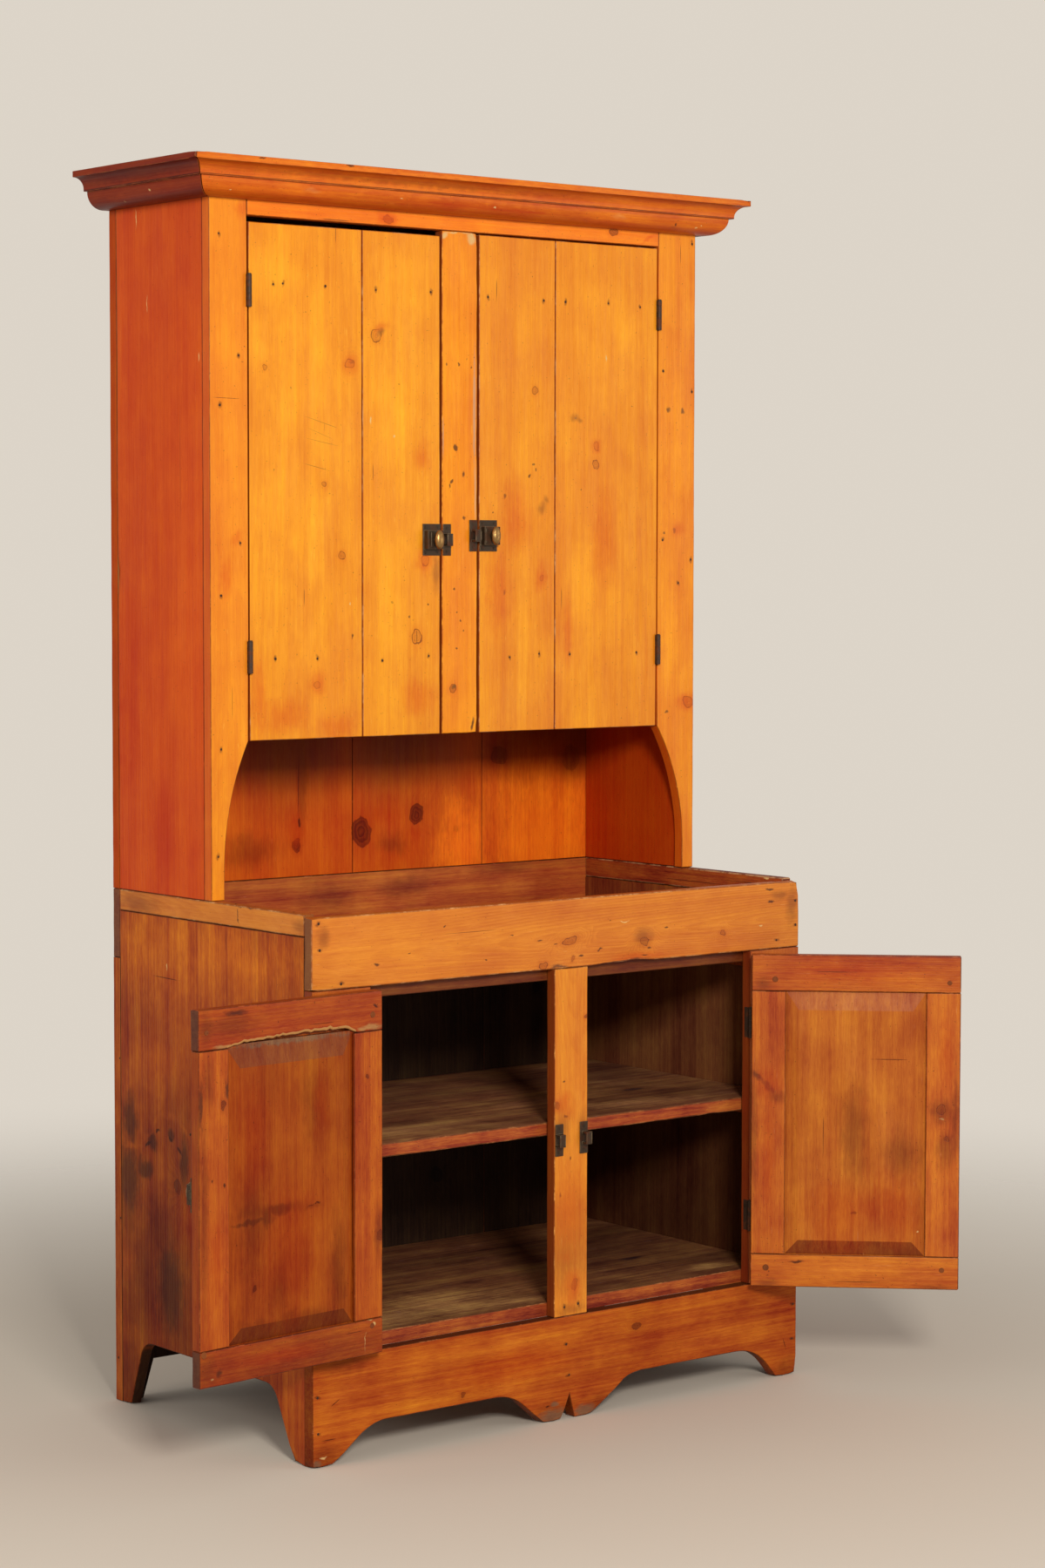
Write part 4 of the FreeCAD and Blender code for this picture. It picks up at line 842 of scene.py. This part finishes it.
# ---- Upper doors: a wide and a narrow board each, on two battens ----
# Ledged doors of flat sawn pine, their joint opened to a dark line, nailed through the battens from
# the front. The shellac is golden here, streaked red at the knots and rubbed pale along the top.
DOOR_LIGHT, DOOR_LATE, DOOR_DEEP = (0.84, 0.3, 0.012), (0.75, 0.23, 0.01), (0.71, 0.185, 0.008)
LEFT_NAILS = [(218, 1789), (201, 1206), (119, 1787), (137, 1789), (121, 1207), (316, 1788), (425, 1790)]
LEFT_NAILS += [(328, 1201), (421, 1207)]
RIGHT_NAILS = [(542, 1788), (659, 1788), (588, 1202), (650, 1207), (705, 1788), (798, 1790), (716, 1205)]
RIGHT_NAILS += [(862, 1206), (868, 1787)]
door_look = dict(worn=0.7, bare=(0.72, 0.36, 0.14), edge=(0.26, 0.034, 0.006), flank=(0.24, 0.03, 0.005))
DOOR_FINISHES = {
    "upper_left_wide_board": pine(
        "shellac_left_wide_board", "XYZ", DOOR_LIGHT, DOOR_LATE, DOOR_DEEP, ring=6, pith=(200, 60),
        knotty=0.35, **door_look, stain=[(268, 1674, 5, 4)],
        knot=[(264, 1670, 8, 8), (103, 1659, 4, 5), (216, 1480, 4, 5), (249, 1368, 5, 6),
            (201, 1165, 6, 7)],
        red=[(201, 1165, 16, 20), (90, 1150, 14, 60), (264, 1668, 16, 20), (240, 1100, 40, 24),
            (140, 1120, 50, 26)],
        crack=[(209, 1577, 40, 0.6, 15), (210, 1546, 34, 0.5, 10), (198, 1507, 28, 0.5, 12),
            (205, 1560, 30, 0.4, 19), (238, 1874, 0.8, 22), (176, 1302, 0.8, 16), (216, 1570, 0.5, 9)],
        dark=[(151, 1630, 2, 2), (120, 1500, 1.5, 1.5), (268, 1240, 2, 3)],
        gold=[(150, 1450, 50, 120), (178, 1640, 70, 120), (110, 1800, 60, 60)], pale=[(265, 1292, 2, 3)],
        rust=LEFT_NAILS[:5],
    ),
    "upper_left_narrow_board": pine(
        "shellac_left_narrow_board", "XYZ", DOOR_LIGHT, DOOR_LATE, DOOR_DEEP, ring=5, pith=(380, 70),
        knotty=0.3, **door_look, stain=[(326, 1722, 8, 5, -30)],
        knot=[(317, 1717, 9, 9), (413, 1361, 8, 8), (397, 1237, 9, 11)],
        red=[(409, 1525, 18, 26), (328, 1730, 16, 8, -30), (413, 1361, 20, 24), (400, 1140, 30, 30)],
        dark=[(382, 1270, 2, 2), (348, 1293, 3, 3), (420, 1290, 2, 3), (372, 1330, 1.5, 1.5)],
        crack=[(310, 1500, 0.8, 16), (397, 1237, 0.8, 14)],
        gold=[(350, 1600, 40, 120), (350, 1330, 30, 80), (350, 1800, 40, 60)],
        pale=[(304, 1581, 1.5, 5), (351, 1558, 2, 2)], soil=[(436, 1340, 8, 30)], rust=LEFT_NAILS[5:],
    ),
    "upper_right_narrow_board": pine(
        "shellac_right_narrow_board", "XYZ", (0.82, 0.28, 0.012), (0.73, 0.21, 0.01), DOOR_DEEP, ring=5,
        pith=(600, 60), knotty=0.4, **door_look, scrape=[(686, 1280, 1.8, 190), (687, 1650, 1.0, 230)],
        knot=[(655, 1333, 4, 5), (640, 1640, 5, 6)], stain=[(577, 1309, 3, 4), (577, 1465, 3.5, 4.5)],
        soil=[(655, 1446, 9, 11, 20), (664, 1460, 5, 7)],
        red=[(600, 1430, 30, 60), (565, 1310, 26, 70), (655, 1333, 16, 20)],
        dark=[(629, 1499, 4, 3), (637, 1519, 3, 3), (642, 1508, 2, 4), (553, 1440, 2, 2)],
        crack=[(560, 1800, 0.8, 20)], rust=RIGHT_NAILS[:4],
    ),
    "upper_right_wide_board": pine(
        "shellac_right_wide_board", "XYZ", (0.83, 0.285, 0.012), (0.74, 0.215, 0.01), DOOR_DEEP, ring=6,
        pith=(780, 60), knotty=0.4, **door_look, knot=[(772, 1552, 5, 6), (771, 1522, 7, 7)],
        red=[(772, 1552, 12, 12), (790, 1380, 30, 120), (712, 1250, 10, 60)],
        gold=[(800, 1720, 60, 110), (740, 1320, 30, 80), (810, 1290, 50, 80)],
        soil=[(725, 1597, 10, 8), (735, 1592, 6, 5)], grey=[(727, 1596, 2, 2)], pale=[(794, 1699, 2, 5)],
        dark=[(850, 1620, 1.5, 1.5), (740, 1480, 1.5, 2)], crack=[(698, 1300, 0.8, 20)],
        rust=RIGHT_NAILS[4:],
    ),
}
batten_finish = pine(
    "plain_battens", "ZYX", (0.5, 0.19, 0.05), (0.36, 0.11, 0.03), (0.26, 0.06, 0.018), gloss=0.55,
    pith=(1210, 90), edge=(0.1, 0.03, 0.012),
)
for node, finish in DOOR_FINISHES.items():
    aged(node, finish, "upper_pine", wear=1.1, body="_".join(node.split("_")[:2]) + "_door")
for hand, nails in (("left", LEFT_NAILS), ("right", RIGHT_NAILS)):
    door = f"upper_{hand}_door"
    nail_front(nails, CUPBOARD_FRONT, door)
    aged(f"upper_{hand}_battens", batten_finish, "upper_pine", bevel=3, body=door)


# ---- Lower doors: two stiles between two rails, pegged, round a fielded panel ----
# Framed doors with the panel's bevels on the inside, which faces out as they stand open. On the left
# one the lip of the top rail's groove has split off and shows raw wood over a dark gap.
HUNG = {"left": ((0.1105, -0.004), -175), "right": ((0.8815, -0.004), 136)}
PANEL_HEAD = 657.5
LIP_FACE, LIP_REACH = 16.5, 22
BREAK_START, BREAK_LENGTH = 50, 254


def broken(across):
    """How far up the lip has gone at a place along the rail: nothing outside the break."""
    along = (across - BREAK_START) / BREAK_LENGTH
    if not 0 < along < 1:
        return 0.0
    ends = min(1.0, along * 12, (1 - along) * 7)
    return ends * (0.8 + 0.2 * math.sin(5 * along) + 0.25 * noise.noise(Vector((across * 0.11, 0, 0))))


def split_lip(point):
    """Lifts the foot of the top rail's inner lip, further at its face, where the wood tore."""
    across, deep, tall = point
    above = tall - PANEL_HEAD
    if deep < LIP_FACE or not -3.5 < above < LIP_REACH:
        return point, 0.0
    gone = broken(across)
    slant = 1.5 + noise.noise(Vector((across * 0.05, 4, 0)))
    slant *= min(2.0, max(0.0, above)) if deep > LIP_FACE + 4 else 0.0
    ragged = 1.6 * noise.noise(Vector((across * 0.35, 1, 0)))
    tall += gone * (9.6 + slant + ragged) * min(1.0, 1 - above / LIP_REACH)
    return Vector((across, deep, tall)), float(gone > 0.05 and above < 2.2)


def dropped_panel(point):
    """The panel has slipped down behind the break, and a dark gap shows over its edge."""
    across, deep, tall = point
    above = tall - (PANEL_HEAD - 1)
    if above > 0:
        tall -= 0.52 * above * min(1.0, 2.5 * broken(across))
    return Vector((across, deep, tall)), 0.0


LEFT_WOOD = ((0.42, 0.08, 0.007), (0.32, 0.054, 0.005), (0.28, 0.042, 0.005))
LEFT_RAIL_WOOD = ((0.38, 0.063, 0.006), (0.3, 0.044, 0.005), (0.26, 0.034, 0.004))
RIGHT_WOOD = ((0.5, 0.115, 0.013), (0.41, 0.08, 0.01), (0.35, 0.058, 0.007))
frame_look = dict(
    ring=4, worn=0.5, edge=(0.05, 0.01, 0.004), ends=(0.05, 0.024, 0.016), clouding=0.6, gloss=0.45,
    contrast=0.9,
)
panel_look = dict(ring=6, worn=0.1, clouding=0.7, gloss=0.42, ringing=0.5)
LOWER_FINISHES = {
    "lower_left_rails": pine(
        "shellac_left_door_rails", "ZYX", *LEFT_RAIL_WOOD, pith=(300, 60), hung=HUNG["left"],
        **frame_look, raw=[(661, 306, 4, 22), (664, 22, 5, 24), (662, 40, 4, 12)],
        pale=[(214, 22, 5, 3), (222, 26, 2, 3), (188, 36, 14, 0.8), (178, 330, 2, 3)],
        crack=[(221, 200, 0.8, 90), (678, 120, 0.7, 30), (206, 60, 0.8, 20)],
        soil=[(690, 290, 20, 50), (690, 340, 26, 14), (190, 340, 26, 14), (185, 180, 44, 260)],
        red=[(195, 200, 14, 90)], stain=[(708, 284, 5, 22), (186, 318, 6, 6)], dark=[(696, 16, 3, 8, 20)],
    ),
    "lower_left_stiles": pine(
        "shellac_left_door_stiles", "XYZ", *LEFT_WOOD, pith=(200, 60), hung=HUNG["left"], **frame_look,
        knot=[(307, 577, 4, 6), (7, 346, 5, 8), (31, 590, 3, 4)],
        dark=[(305, 459, 2, 4), (329, 467, 2, 3)],
        soil=[(344, 420, 8, 160), (10, 350, 8, 40), (335, 610, 12, 40), (292, 610, 8, 40)],
        stain=[(300, 600, 5, 16), (348, 580, 4, 40)], red=[(320, 350, 12, 60)],
    ),
    "lower_left_panel": pine(
        "shellac_left_door_panel", "XYZ", (0.34, 0.064, 0.006), (0.25, 0.043, 0.005),
        (0.22, 0.034, 0.005), **panel_look, slopes=((0.2, 0.045, 0.012), (0.13, 0.024, 0.006)),
        specular=0.08, pith=(160, 50), hung=HUNG["left"], edge=(0.06, 0.01, 0.004), contrast=0.7,
        # the dark line 56 mm across is a painted shadow in the gap between the panel and the stile
        grey=[(177, 659, 150, 7)], crack=[(56, 440, 2.0, 216)], knot=[(250, 300, 4, 5)],
        stain=[(250, 398, 40, 4, 3), (200, 410, 26, 8), (226, 400, 12, 14)],
        soil=[(210, 411, 70, 9, -1), (141, 407, 20, 5), (175, 240, 110, 16), (250, 400, 30, 90),
            (130, 560, 30, 60), (90, 300, 16, 90), (200, 300, 20, 60)],
        dark=[(141, 408, 11, 1.6), (128, 410, 6, 1.4)],
        red=[(180, 350, 60, 100), (120, 560, 20, 60), (250, 520, 30, 90)],
    ),
    "lower_right_rails": pine(
        "shellac_right_door_rails", "ZYX", *RIGHT_WOOD, pith=(300, 60), hung=HUNG["right"], **frame_look,
        gold=[(197, -150, 18, 100)], red=[(690, -170, 22, 120)], dark=[(210, -78, 3, 14)],
        crack=[(178, -180, 0.8, 50), (690, -140, 0.8, 40)],
        soil=[(668, -20, 10, 14), (172, -30, 8, 20), (170, -300, 6, 30)], pale=[(164, -290, 1.5, 5)],
    ),
    "lower_right_stiles": pine(
        "shellac_right_door_stiles", "XYZ", *RIGHT_WOOD, pith=(-200, 60), hung=HUNG["right"],
        **frame_look, knot=[(-312, 466, 7, 7), (-321, 417, 4, 4)], knotty=0.45,
        stain=[(-12, 515, 14, 6, -42), (-28, 500, 14, 7, -42)],
        red=[(-30, 380, 12, 100), (-320, 560, 12, 60), (-30, 502, 24, 30)], pale=[(-312, 450, 4, 2)],
        soil=[(-336, 460, 6, 60), (-6, 420, 6, 120), (-44, 484, 14, 12), (-312, 465, 18, 20),
            (-318, 400, 18, 30)],
    ),
    "lower_right_panel": pine(
        "shellac_right_door_panel", "XYZ", (0.49, 0.132, 0.017), (0.39, 0.092, 0.012),
        (0.33, 0.062, 0.008), **panel_look, slopes=((0.42, 0.115, 0.03), (0.17, 0.03, 0.008)),
        specular=0.1, pith=(-170, 50), hung=HUNG["right"], edge=(0.08, 0.014, 0.005), contrast=0.8,
        soil=[(-170, 420, 24, 80), (-250, 390, 30, 40)], dark=[(-171, 292, 8, 3)],
        crack=[(-226, 547, 36, 0.8), (-120, 420, 0.7, 40)],
        red=[(-150, 290, 60, 60), (-240, 300, 40, 60)], pale=[(-275, 264, 3, 1.5)],
    ),
}
CARVED = {"lower_left_rails": split_lip, "lower_left_panel": dropped_panel}
for node, finish in LOWER_FINISHES.items():
    hand = node.split("_")[1]
    shape = dict(bevel=1.2, crisp=4) if node.endswith("panel") else {}
    aged(
        node, finish, "door_pine", wear=1.3, step=6 if node in CARVED else 20, carve=CARVED.get(node),
        hung=HUNG[hand], body=f"lower_{hand}_door", **shape,
    )


# ---- Hinges ----
# Small cast butt hinges, the leaves let into the edges of the stiles and doors, the barrels proud of
# the front. Old iron, brown with rust and dull where it is handled.


def old_metal(name, dull, bright, rough, metal, rust=(0.16, 0.045, 0.016), rusting=0.5):
    """Dull old metal: arrises rubbed bright by hands, beads also as a painted highlight; rust or tarnish
    in soft patches.
    """
    finish = bpy.data.materials.new(name)
    tree = empty_tree(finish)
    mix, ramp = partial(blend, tree), partial(swing, tree)
    place = wire(tree, "TexCoord", {})["Object"]
    blot = mottle(tree, place, 70.0, 4.0, 0.6)
    pits = mottle(tree, place, 900.0, 2.0)
    arris = carried(tree, "arris")
    stain = ramp(blot, 0.48, 0.66, 0.0, rusting)
    colour = mix(stain, (*dull, 1), (*rust, 1))
    rubbed_and_highlit = count(tree, "MULTIPLY", arris, ramp(blot, 0.62, 0.4, 0.1, 0.6))
    colour = mix(rubbed_and_highlit, colour, (*bright, 1))
    colour = mix(ramp(pits, 0.62, 0.7, 0.0, 0.5), colour, shade(dull, 0.4, 0.4, 0.4))
    smooth = count(tree, "MULTIPLY_ADD", rubbed_and_highlit, -0.12, rough)
    smooth = count(tree, "MULTIPLY_ADD", stain, 0.3, smooth)
    surface = {
        "Base Color": colour,
        "Metallic": metal,
        "Roughness": smooth,
        "Normal": wire(tree, "Bump", {"Strength": 0.4, "Distance": 0.0003, "Height": pits})[0],
        "Specular IOR Level": 0.2,
    }
    wire(tree, "OutputMaterial", {"Surface": wire(tree, "BsdfPrincipled", surface)[0]})
    return finish


hinge_iron = old_metal("old_hinge_iron", (0.055, 0.032, 0.021), (0.2, 0.13, 0.085), 0.5, 0.35)
leaves = {"hinge_case_leaves": "cabinet", "hinge_pins": "cabinet"}
for door in ("upper_left", "upper_right", "lower_left", "lower_right"):
    leaves[door + "_hinge_leaves"] = door + "_door"
for node, body in leaves.items():
    aged(node, hinge_iron, "hinge_iron", bevel=0.35, wear=0.15, step=60, sag=0.2, body=body)


# ---- Turn latches ----
# A cast iron case screwed to each door's free edge, with a ridged lid and a riveted middle, an oval
# brass knob that draws the bolt, and a bridged keeper on the centre stile.
latch_iron = old_metal("old_latch_iron", (0.042, 0.026, 0.014), (0.2, 0.14, 0.08), 0.5, 0.25, rusting=0.3)
keeper_iron = old_metal(
    "old_keeper_iron", (0.045, 0.027, 0.015), (0.2, 0.14, 0.08), 0.5, 0.25, (0.1, 0.022, 0.008), 0.6
)
knob_brass = old_metal(
    "tarnished_knob_brass", (0.3, 0.17, 0.06), (0.5, 0.34, 0.15), 0.32, 0.9, (0.14, 0.07, 0.025), 0.7
)
# each latch: its door's pin, the door's angle, its spindle across from the pin, its height and hand
LATCHES = {
    "upper_left": ((71.5, 263), 0, 354.5, 1394, 1),
    "upper_right": ((907.5, 263), 0, -365.5, 1401, -1),
    "lower_left": ((110.5, -4), -175, 334.5, 448, 1),
    "lower_right": ((881.5, -4), 136, -324.5, 448, -1),
}
# each keeper: its place and hand
KEEPERS = [((449, 267, 1394), 1), ((519, 267, 1401), -1), ((468, 0, 448), 1), ((534, 0, 448), -1)]
DOOR_FACE, LID, RIDGE, RIVET = 4, 12.9, 0.55, 1.5
cast_case = dict(bevel=0.9, wear=0.3, step=60, sag=0.3)


def bead(bm, stand, offset, size, blunt, around):
    """A cast bead, half sunk in the face that its frame stands on; its ends the squarer, the less
    its bluntness."""
    made = bmesh.ops.create_uvsphere(bm, u_segments=around, v_segments=8, radius=1)["verts"]
    for vert in made:
        vert.co.y = math.copysign(abs(vert.co.y) ** blunt, vert.co.y)
    scale = Matrix.Diagonal((*(length * MM for length in size), 1))
    bmesh.ops.transform(bm, matrix=stand @ Matrix.Translation((offset * MM, 0, 0)) @ scale, verts=made)


def ridges(name, frames, body):
    """Beads along a lid and a rivet's dome: each frame stands at the lid's middle, Z out."""
    bm = bmesh.new()
    for stand, across, tall, rivets in frames:
        for offset in across:
            bead(bm, stand, offset, (RIDGE * 1.5, tall / 2, RIDGE), 0.35, 12)
        for offset in rivets:
            bead(bm, stand, offset, (RIVET, RIVET, RIDGE), 1, 14)
    # every point of a bead counts as an arris, so the beads take the brighter colour: rubbed metal, and a
    # painted highlight along the ridges
    arris = bm.verts.layers.float.new("arris")
    for vert in bm.verts:
        vert[arris] = 1
    bmesh.ops.recalc_face_normals(bm, faces=bm.faces)
    for face in bm.faces:
        face.smooth = True
    mesh = bpy.data.meshes.new(name)
    bm.to_mesh(mesh)
    bm.free()
    return show(mesh, name, latch_iron, body, "latch_iron")


def facing_front(place, turn=0.0):
    """A frame at a place in millimetres whose Z looks out of a door's or stile's front."""
    upright = swung(turn) @ Matrix.Rotation(math.radians(90), 4, "X")
    return Matrix.Translation(Vector(place) * MM) @ upright


def on_door(pin, angle, across, deep, tall):
    """A point of a door's own frame, in the cupboard's."""
    return Vector((*pin, tall)) + swung(angle) @ Vector((across, deep, 0))


screws = {}
for key, (pin, angle, across, tall, hand) in LATCHES.items():
    door = key + "_door"
    aged(key + "_latch_case", latch_iron, "latch_iron", **cast_case, body=door)
    bolt, knob = key + "_bolt", key + "_knob"
    aged(bolt, latch_iron, "latch_iron", bevel=0.5, wear=0.2, step=60, sag=0.2, body=bolt)
    aged(knob, knob_brass, "knob_brass", bevel=0.3, wear=0.0, step=60, sag=0.1, body=knob)
    lid = facing_front(on_door(pin, angle, across, DOOR_FACE - LID, tall), angle)
    ridges(key + "_latch_ridges", [(lid, (-9 * hand, 13 * hand), 25, (-3.5 * hand,))], door)
    out = swung(angle) @ Vector((0, -1, 0))
    screws.setdefault(door, []).extend(
        (on_door(pin, angle, across + x, 2, tall + z) * MM, out) for x in (-12, 12) for z in (-20.5, 20.5)
    )
bridges = []
for (x, y, z), hand in KEEPERS:
    bridges.append((facing_front((x + 6 * hand, y - LID, z)), (-4.6, 4.6), 17, ()))
    screws.setdefault("cabinet", []).extend(
        (Vector((x + 8 * hand, y - 2, z + up)) * MM, Vector((0, -1, 0))) for up in (-19, 19)
    )
aged("latch_keepers", keeper_iron, "latch_iron", **cast_case)
ridges("keeper_ridges", bridges, "cabinet")


# ---- Nails, screws and pegs ----
# Cut nails with small dark heads, slotted screws in the hinges and latches, and turned pegs through
# the joints of the lower doors. Each kind is one tree of nodes run on a cloud of its places.
HALF_TURN, SMALLEST, LARGEST, SEED = 3.1, 0.85, 1.15, 7


def fastener_tree(kind, head, sizes):
    """A tree that sets one head, built by the given function from the named sizes, on every point
    along its own direction, turned at random, and gives one plain mesh."""
    tree = bpy.data.node_groups.new(kind, "GeometryNodeTree")
    inputs = {"Places": "Geometry", **dict.fromkeys(sizes, "Float"), "Seed": "Int", "Finish": "Material"}
    for name, sort in inputs.items():
        tree.interface.new_socket(name, in_out="INPUT", socket_type="NodeSocket" + sort)
    tree.interface.new_socket("Heads", in_out="OUTPUT", socket_type="NodeSocketGeometry")
    given = tree.nodes.new("NodeGroupInput").outputs
    step = partial(wire, tree)
    out = step("GeometryNodeInputNamedAttribute", {"Name": "out"}, data_type="FLOAT_VECTOR")[0]
    along = step("FunctionNodeAlignRotationToVector", {"Vector": out}, axis="Z")[0]
    draw = {2: -HALF_TURN, 3: HALF_TURN, "Seed": given["Seed"]}
    spin = step("FunctionNodeRandomValue", draw, data_type="FLOAT")[1]
    turn = step("FunctionNodeAxisAngleToRotation", {"Axis": (0, 0, 1), "Angle": spin})[0]
    turned = {"Rotation": along, "Rotate By": turn}
    rotation = step("FunctionNodeRotateRotation", turned, rotation_space="LOCAL")[0]
    draw = {2: SMALLEST, 3: LARGEST, "Seed": given["Seed"]}
    size = step("FunctionNodeRandomValue", draw, data_type="FLOAT")[1]
    heads = {"Points": given["Places"], "Instance": head(step, given), "Rotation": rotation}
    heads["Scale"] = size
    heads = step("GeometryNodeInstanceOnPoints", heads)[0]
    solid = step("GeometryNodeRealizeInstances", {0: heads})[0]
    dressed = step("GeometryNodeSetMaterial", {"Geometry": solid, "Material": given["Finish"]})[0]
    tree.links.new(dressed, tree.nodes.new("NodeGroupOutput").inputs["Heads"])
    return tree


def domed_head(sides, step, given):
    """A head with this many sides, a little narrower at its top."""
    cone = {"Vertices": sides, "Radius Top": given["Top"], "Radius Bottom": given["Radius"]}
    return step("GeometryNodeMeshCone", {**cone, "Depth": given["Height"]})[0]


def screw_head(step, given):
    """A countersunk head with a straight slot sawn across it."""
    cone = {"Vertices": 18, "Radius Top": given["Radius"], "Radius Bottom": given["Top"]}
    disc = step("GeometryNodeMeshCone", {**cone, "Depth": given["Height"]})[0]
    long = step("Math", {0: given["Radius"], 1: 3.0}, operation="MULTIPLY")[0]
    size = step("CombineXYZ", {"X": long, "Y": given["Slot"], "Z": given["Height"]})[0]
    saw = step("GeometryNodeMeshCube", {"Size": size})[0]
    lift = step("Math", {0: given["Height"], 1: 1.05}, operation="MULTIPLY")[0]
    lift = step("CombineXYZ", {"Z": lift})[0]
    saw = step("GeometryNodeTransform", {"Geometry": saw, "Translation": lift})[0]
    return step("GeometryNodeMeshBoolean", {0: disc, 1: saw}, operation="DIFFERENCE", solver="EXACT")[0]


def fasten(name, tree, body, slot, finish, places, **sizes):
    """Runs a fastener tree, its sizes in millimetres, on a body's places and keeps the plain mesh."""
    cloud = bpy.data.meshes.new(name)
    cloud.from_pydata([place for place, out in places], [], [])
    ways = cloud.attributes.new("out", "FLOAT_VECTOR", "POINT")
    for index, (place, out) in enumerate(places):
        ways.data[index].vector = out
    holder = bpy.data.objects.new("holder", cloud)
    scene.collection.objects.link(holder)
    nodes = holder.modifiers.new("heads", "NODES")
    nodes.node_group = tree
    values = {**{size: sizes[size] * MM for size in sizes}, "Seed": SEED, "Finish": finish}
    for item in tree.interface.items_tree:
        if item.in_out == "INPUT" and item.name in values:
            nodes[item.identifier] = values[item.name]
    bpy.context.view_layer.update()
    mesh = bpy.data.meshes.new_from_object(holder.evaluated_get(bpy.context.evaluated_depsgraph_get()))
    bpy.data.objects.remove(holder)
    return show(mesh, name, finish, body, slot)


nail_iron = old_metal("nail_iron", (0.05, 0.022, 0.013), (0.12, 0.07, 0.045), 0.6, 0.3)
nail_tree = fastener_tree("cut_nails", partial(domed_head, 7), ("Radius", "Top", "Height"))
for body, places in driven.items():
    fasten(f"{body}_nails", nail_tree, body, "hinge_iron", nail_iron, places,
           Radius=2.1, Top=1.3, Height=0.35)

# two screws in every hinge leaf, on the flat that faces the gap
HINGE_HEIGHTS = {"upper": (1210, 1775), "lower": (280, 601)}
LEAF_FACE = 1.5
for key, (pin, angle, *_, hand) in LATCHES.items():
    for height in HINGE_HEIGHTS[key.split("_")[0]]:
        for up, deep in ((-15, 10), (15, 14)):
            place = on_door(pin, angle, LEAF_FACE * hand, deep, height + up)
            screws[key + "_door"].append((place * MM, swung(angle) @ Vector((-hand, 0, 0))))
            place = Vector((pin[0] - LEAF_FACE * hand, pin[1] + deep, height + up))
            screws["cabinet"].append((place * MM, Vector((hand, 0, 0))))
screw_tree = fastener_tree("slotted_screws", screw_head, ("Radius", "Top", "Height", "Slot"))
for body, places in screws.items():
    fasten(f"{body}_screws", screw_tree, body, "latch_iron", latch_iron, places,
           Radius=2.3, Top=1.2, Height=0.8, Slot=0.6)

# pegs through the corners of the lower doors, their end grain a little proud on both faces
peg_wood = pine(
    "peg_end_grain", "XYZ", (0.28, 0.075, 0.016), (0.13, 0.03, 0.008), (0.1, 0.018, 0.005), ring=1.2,
    pith=(0, 0), ringing=0.9, gloss=0.55,
)
PEGS = {
    "left": [(21, 682), (338, 684), (345, 217), (23, 211)],
    "right": [(-40, 677), (-324, 674), (-27, 199), (-315, 200)],
}
peg_tree = fastener_tree("turned_pegs", partial(domed_head, 12), ("Radius", "Top", "Height"))
for hand, corners in PEGS.items():
    pin, angle, *_ = LATCHES["lower_" + hand]
    places = [
        (on_door(pin, angle, across, deep, tall) * MM, swung(angle) @ Vector((0, out, 0)))
        for across, tall in corners
        for deep, out in ((23, 1), (4, -1))
    ]
    fasten(f"lower_{hand}_door_pegs", peg_tree, f"lower_{hand}_door", "door_pine", peg_wood, places,
           Radius=4.6, Top=4.1, Height=0.5)
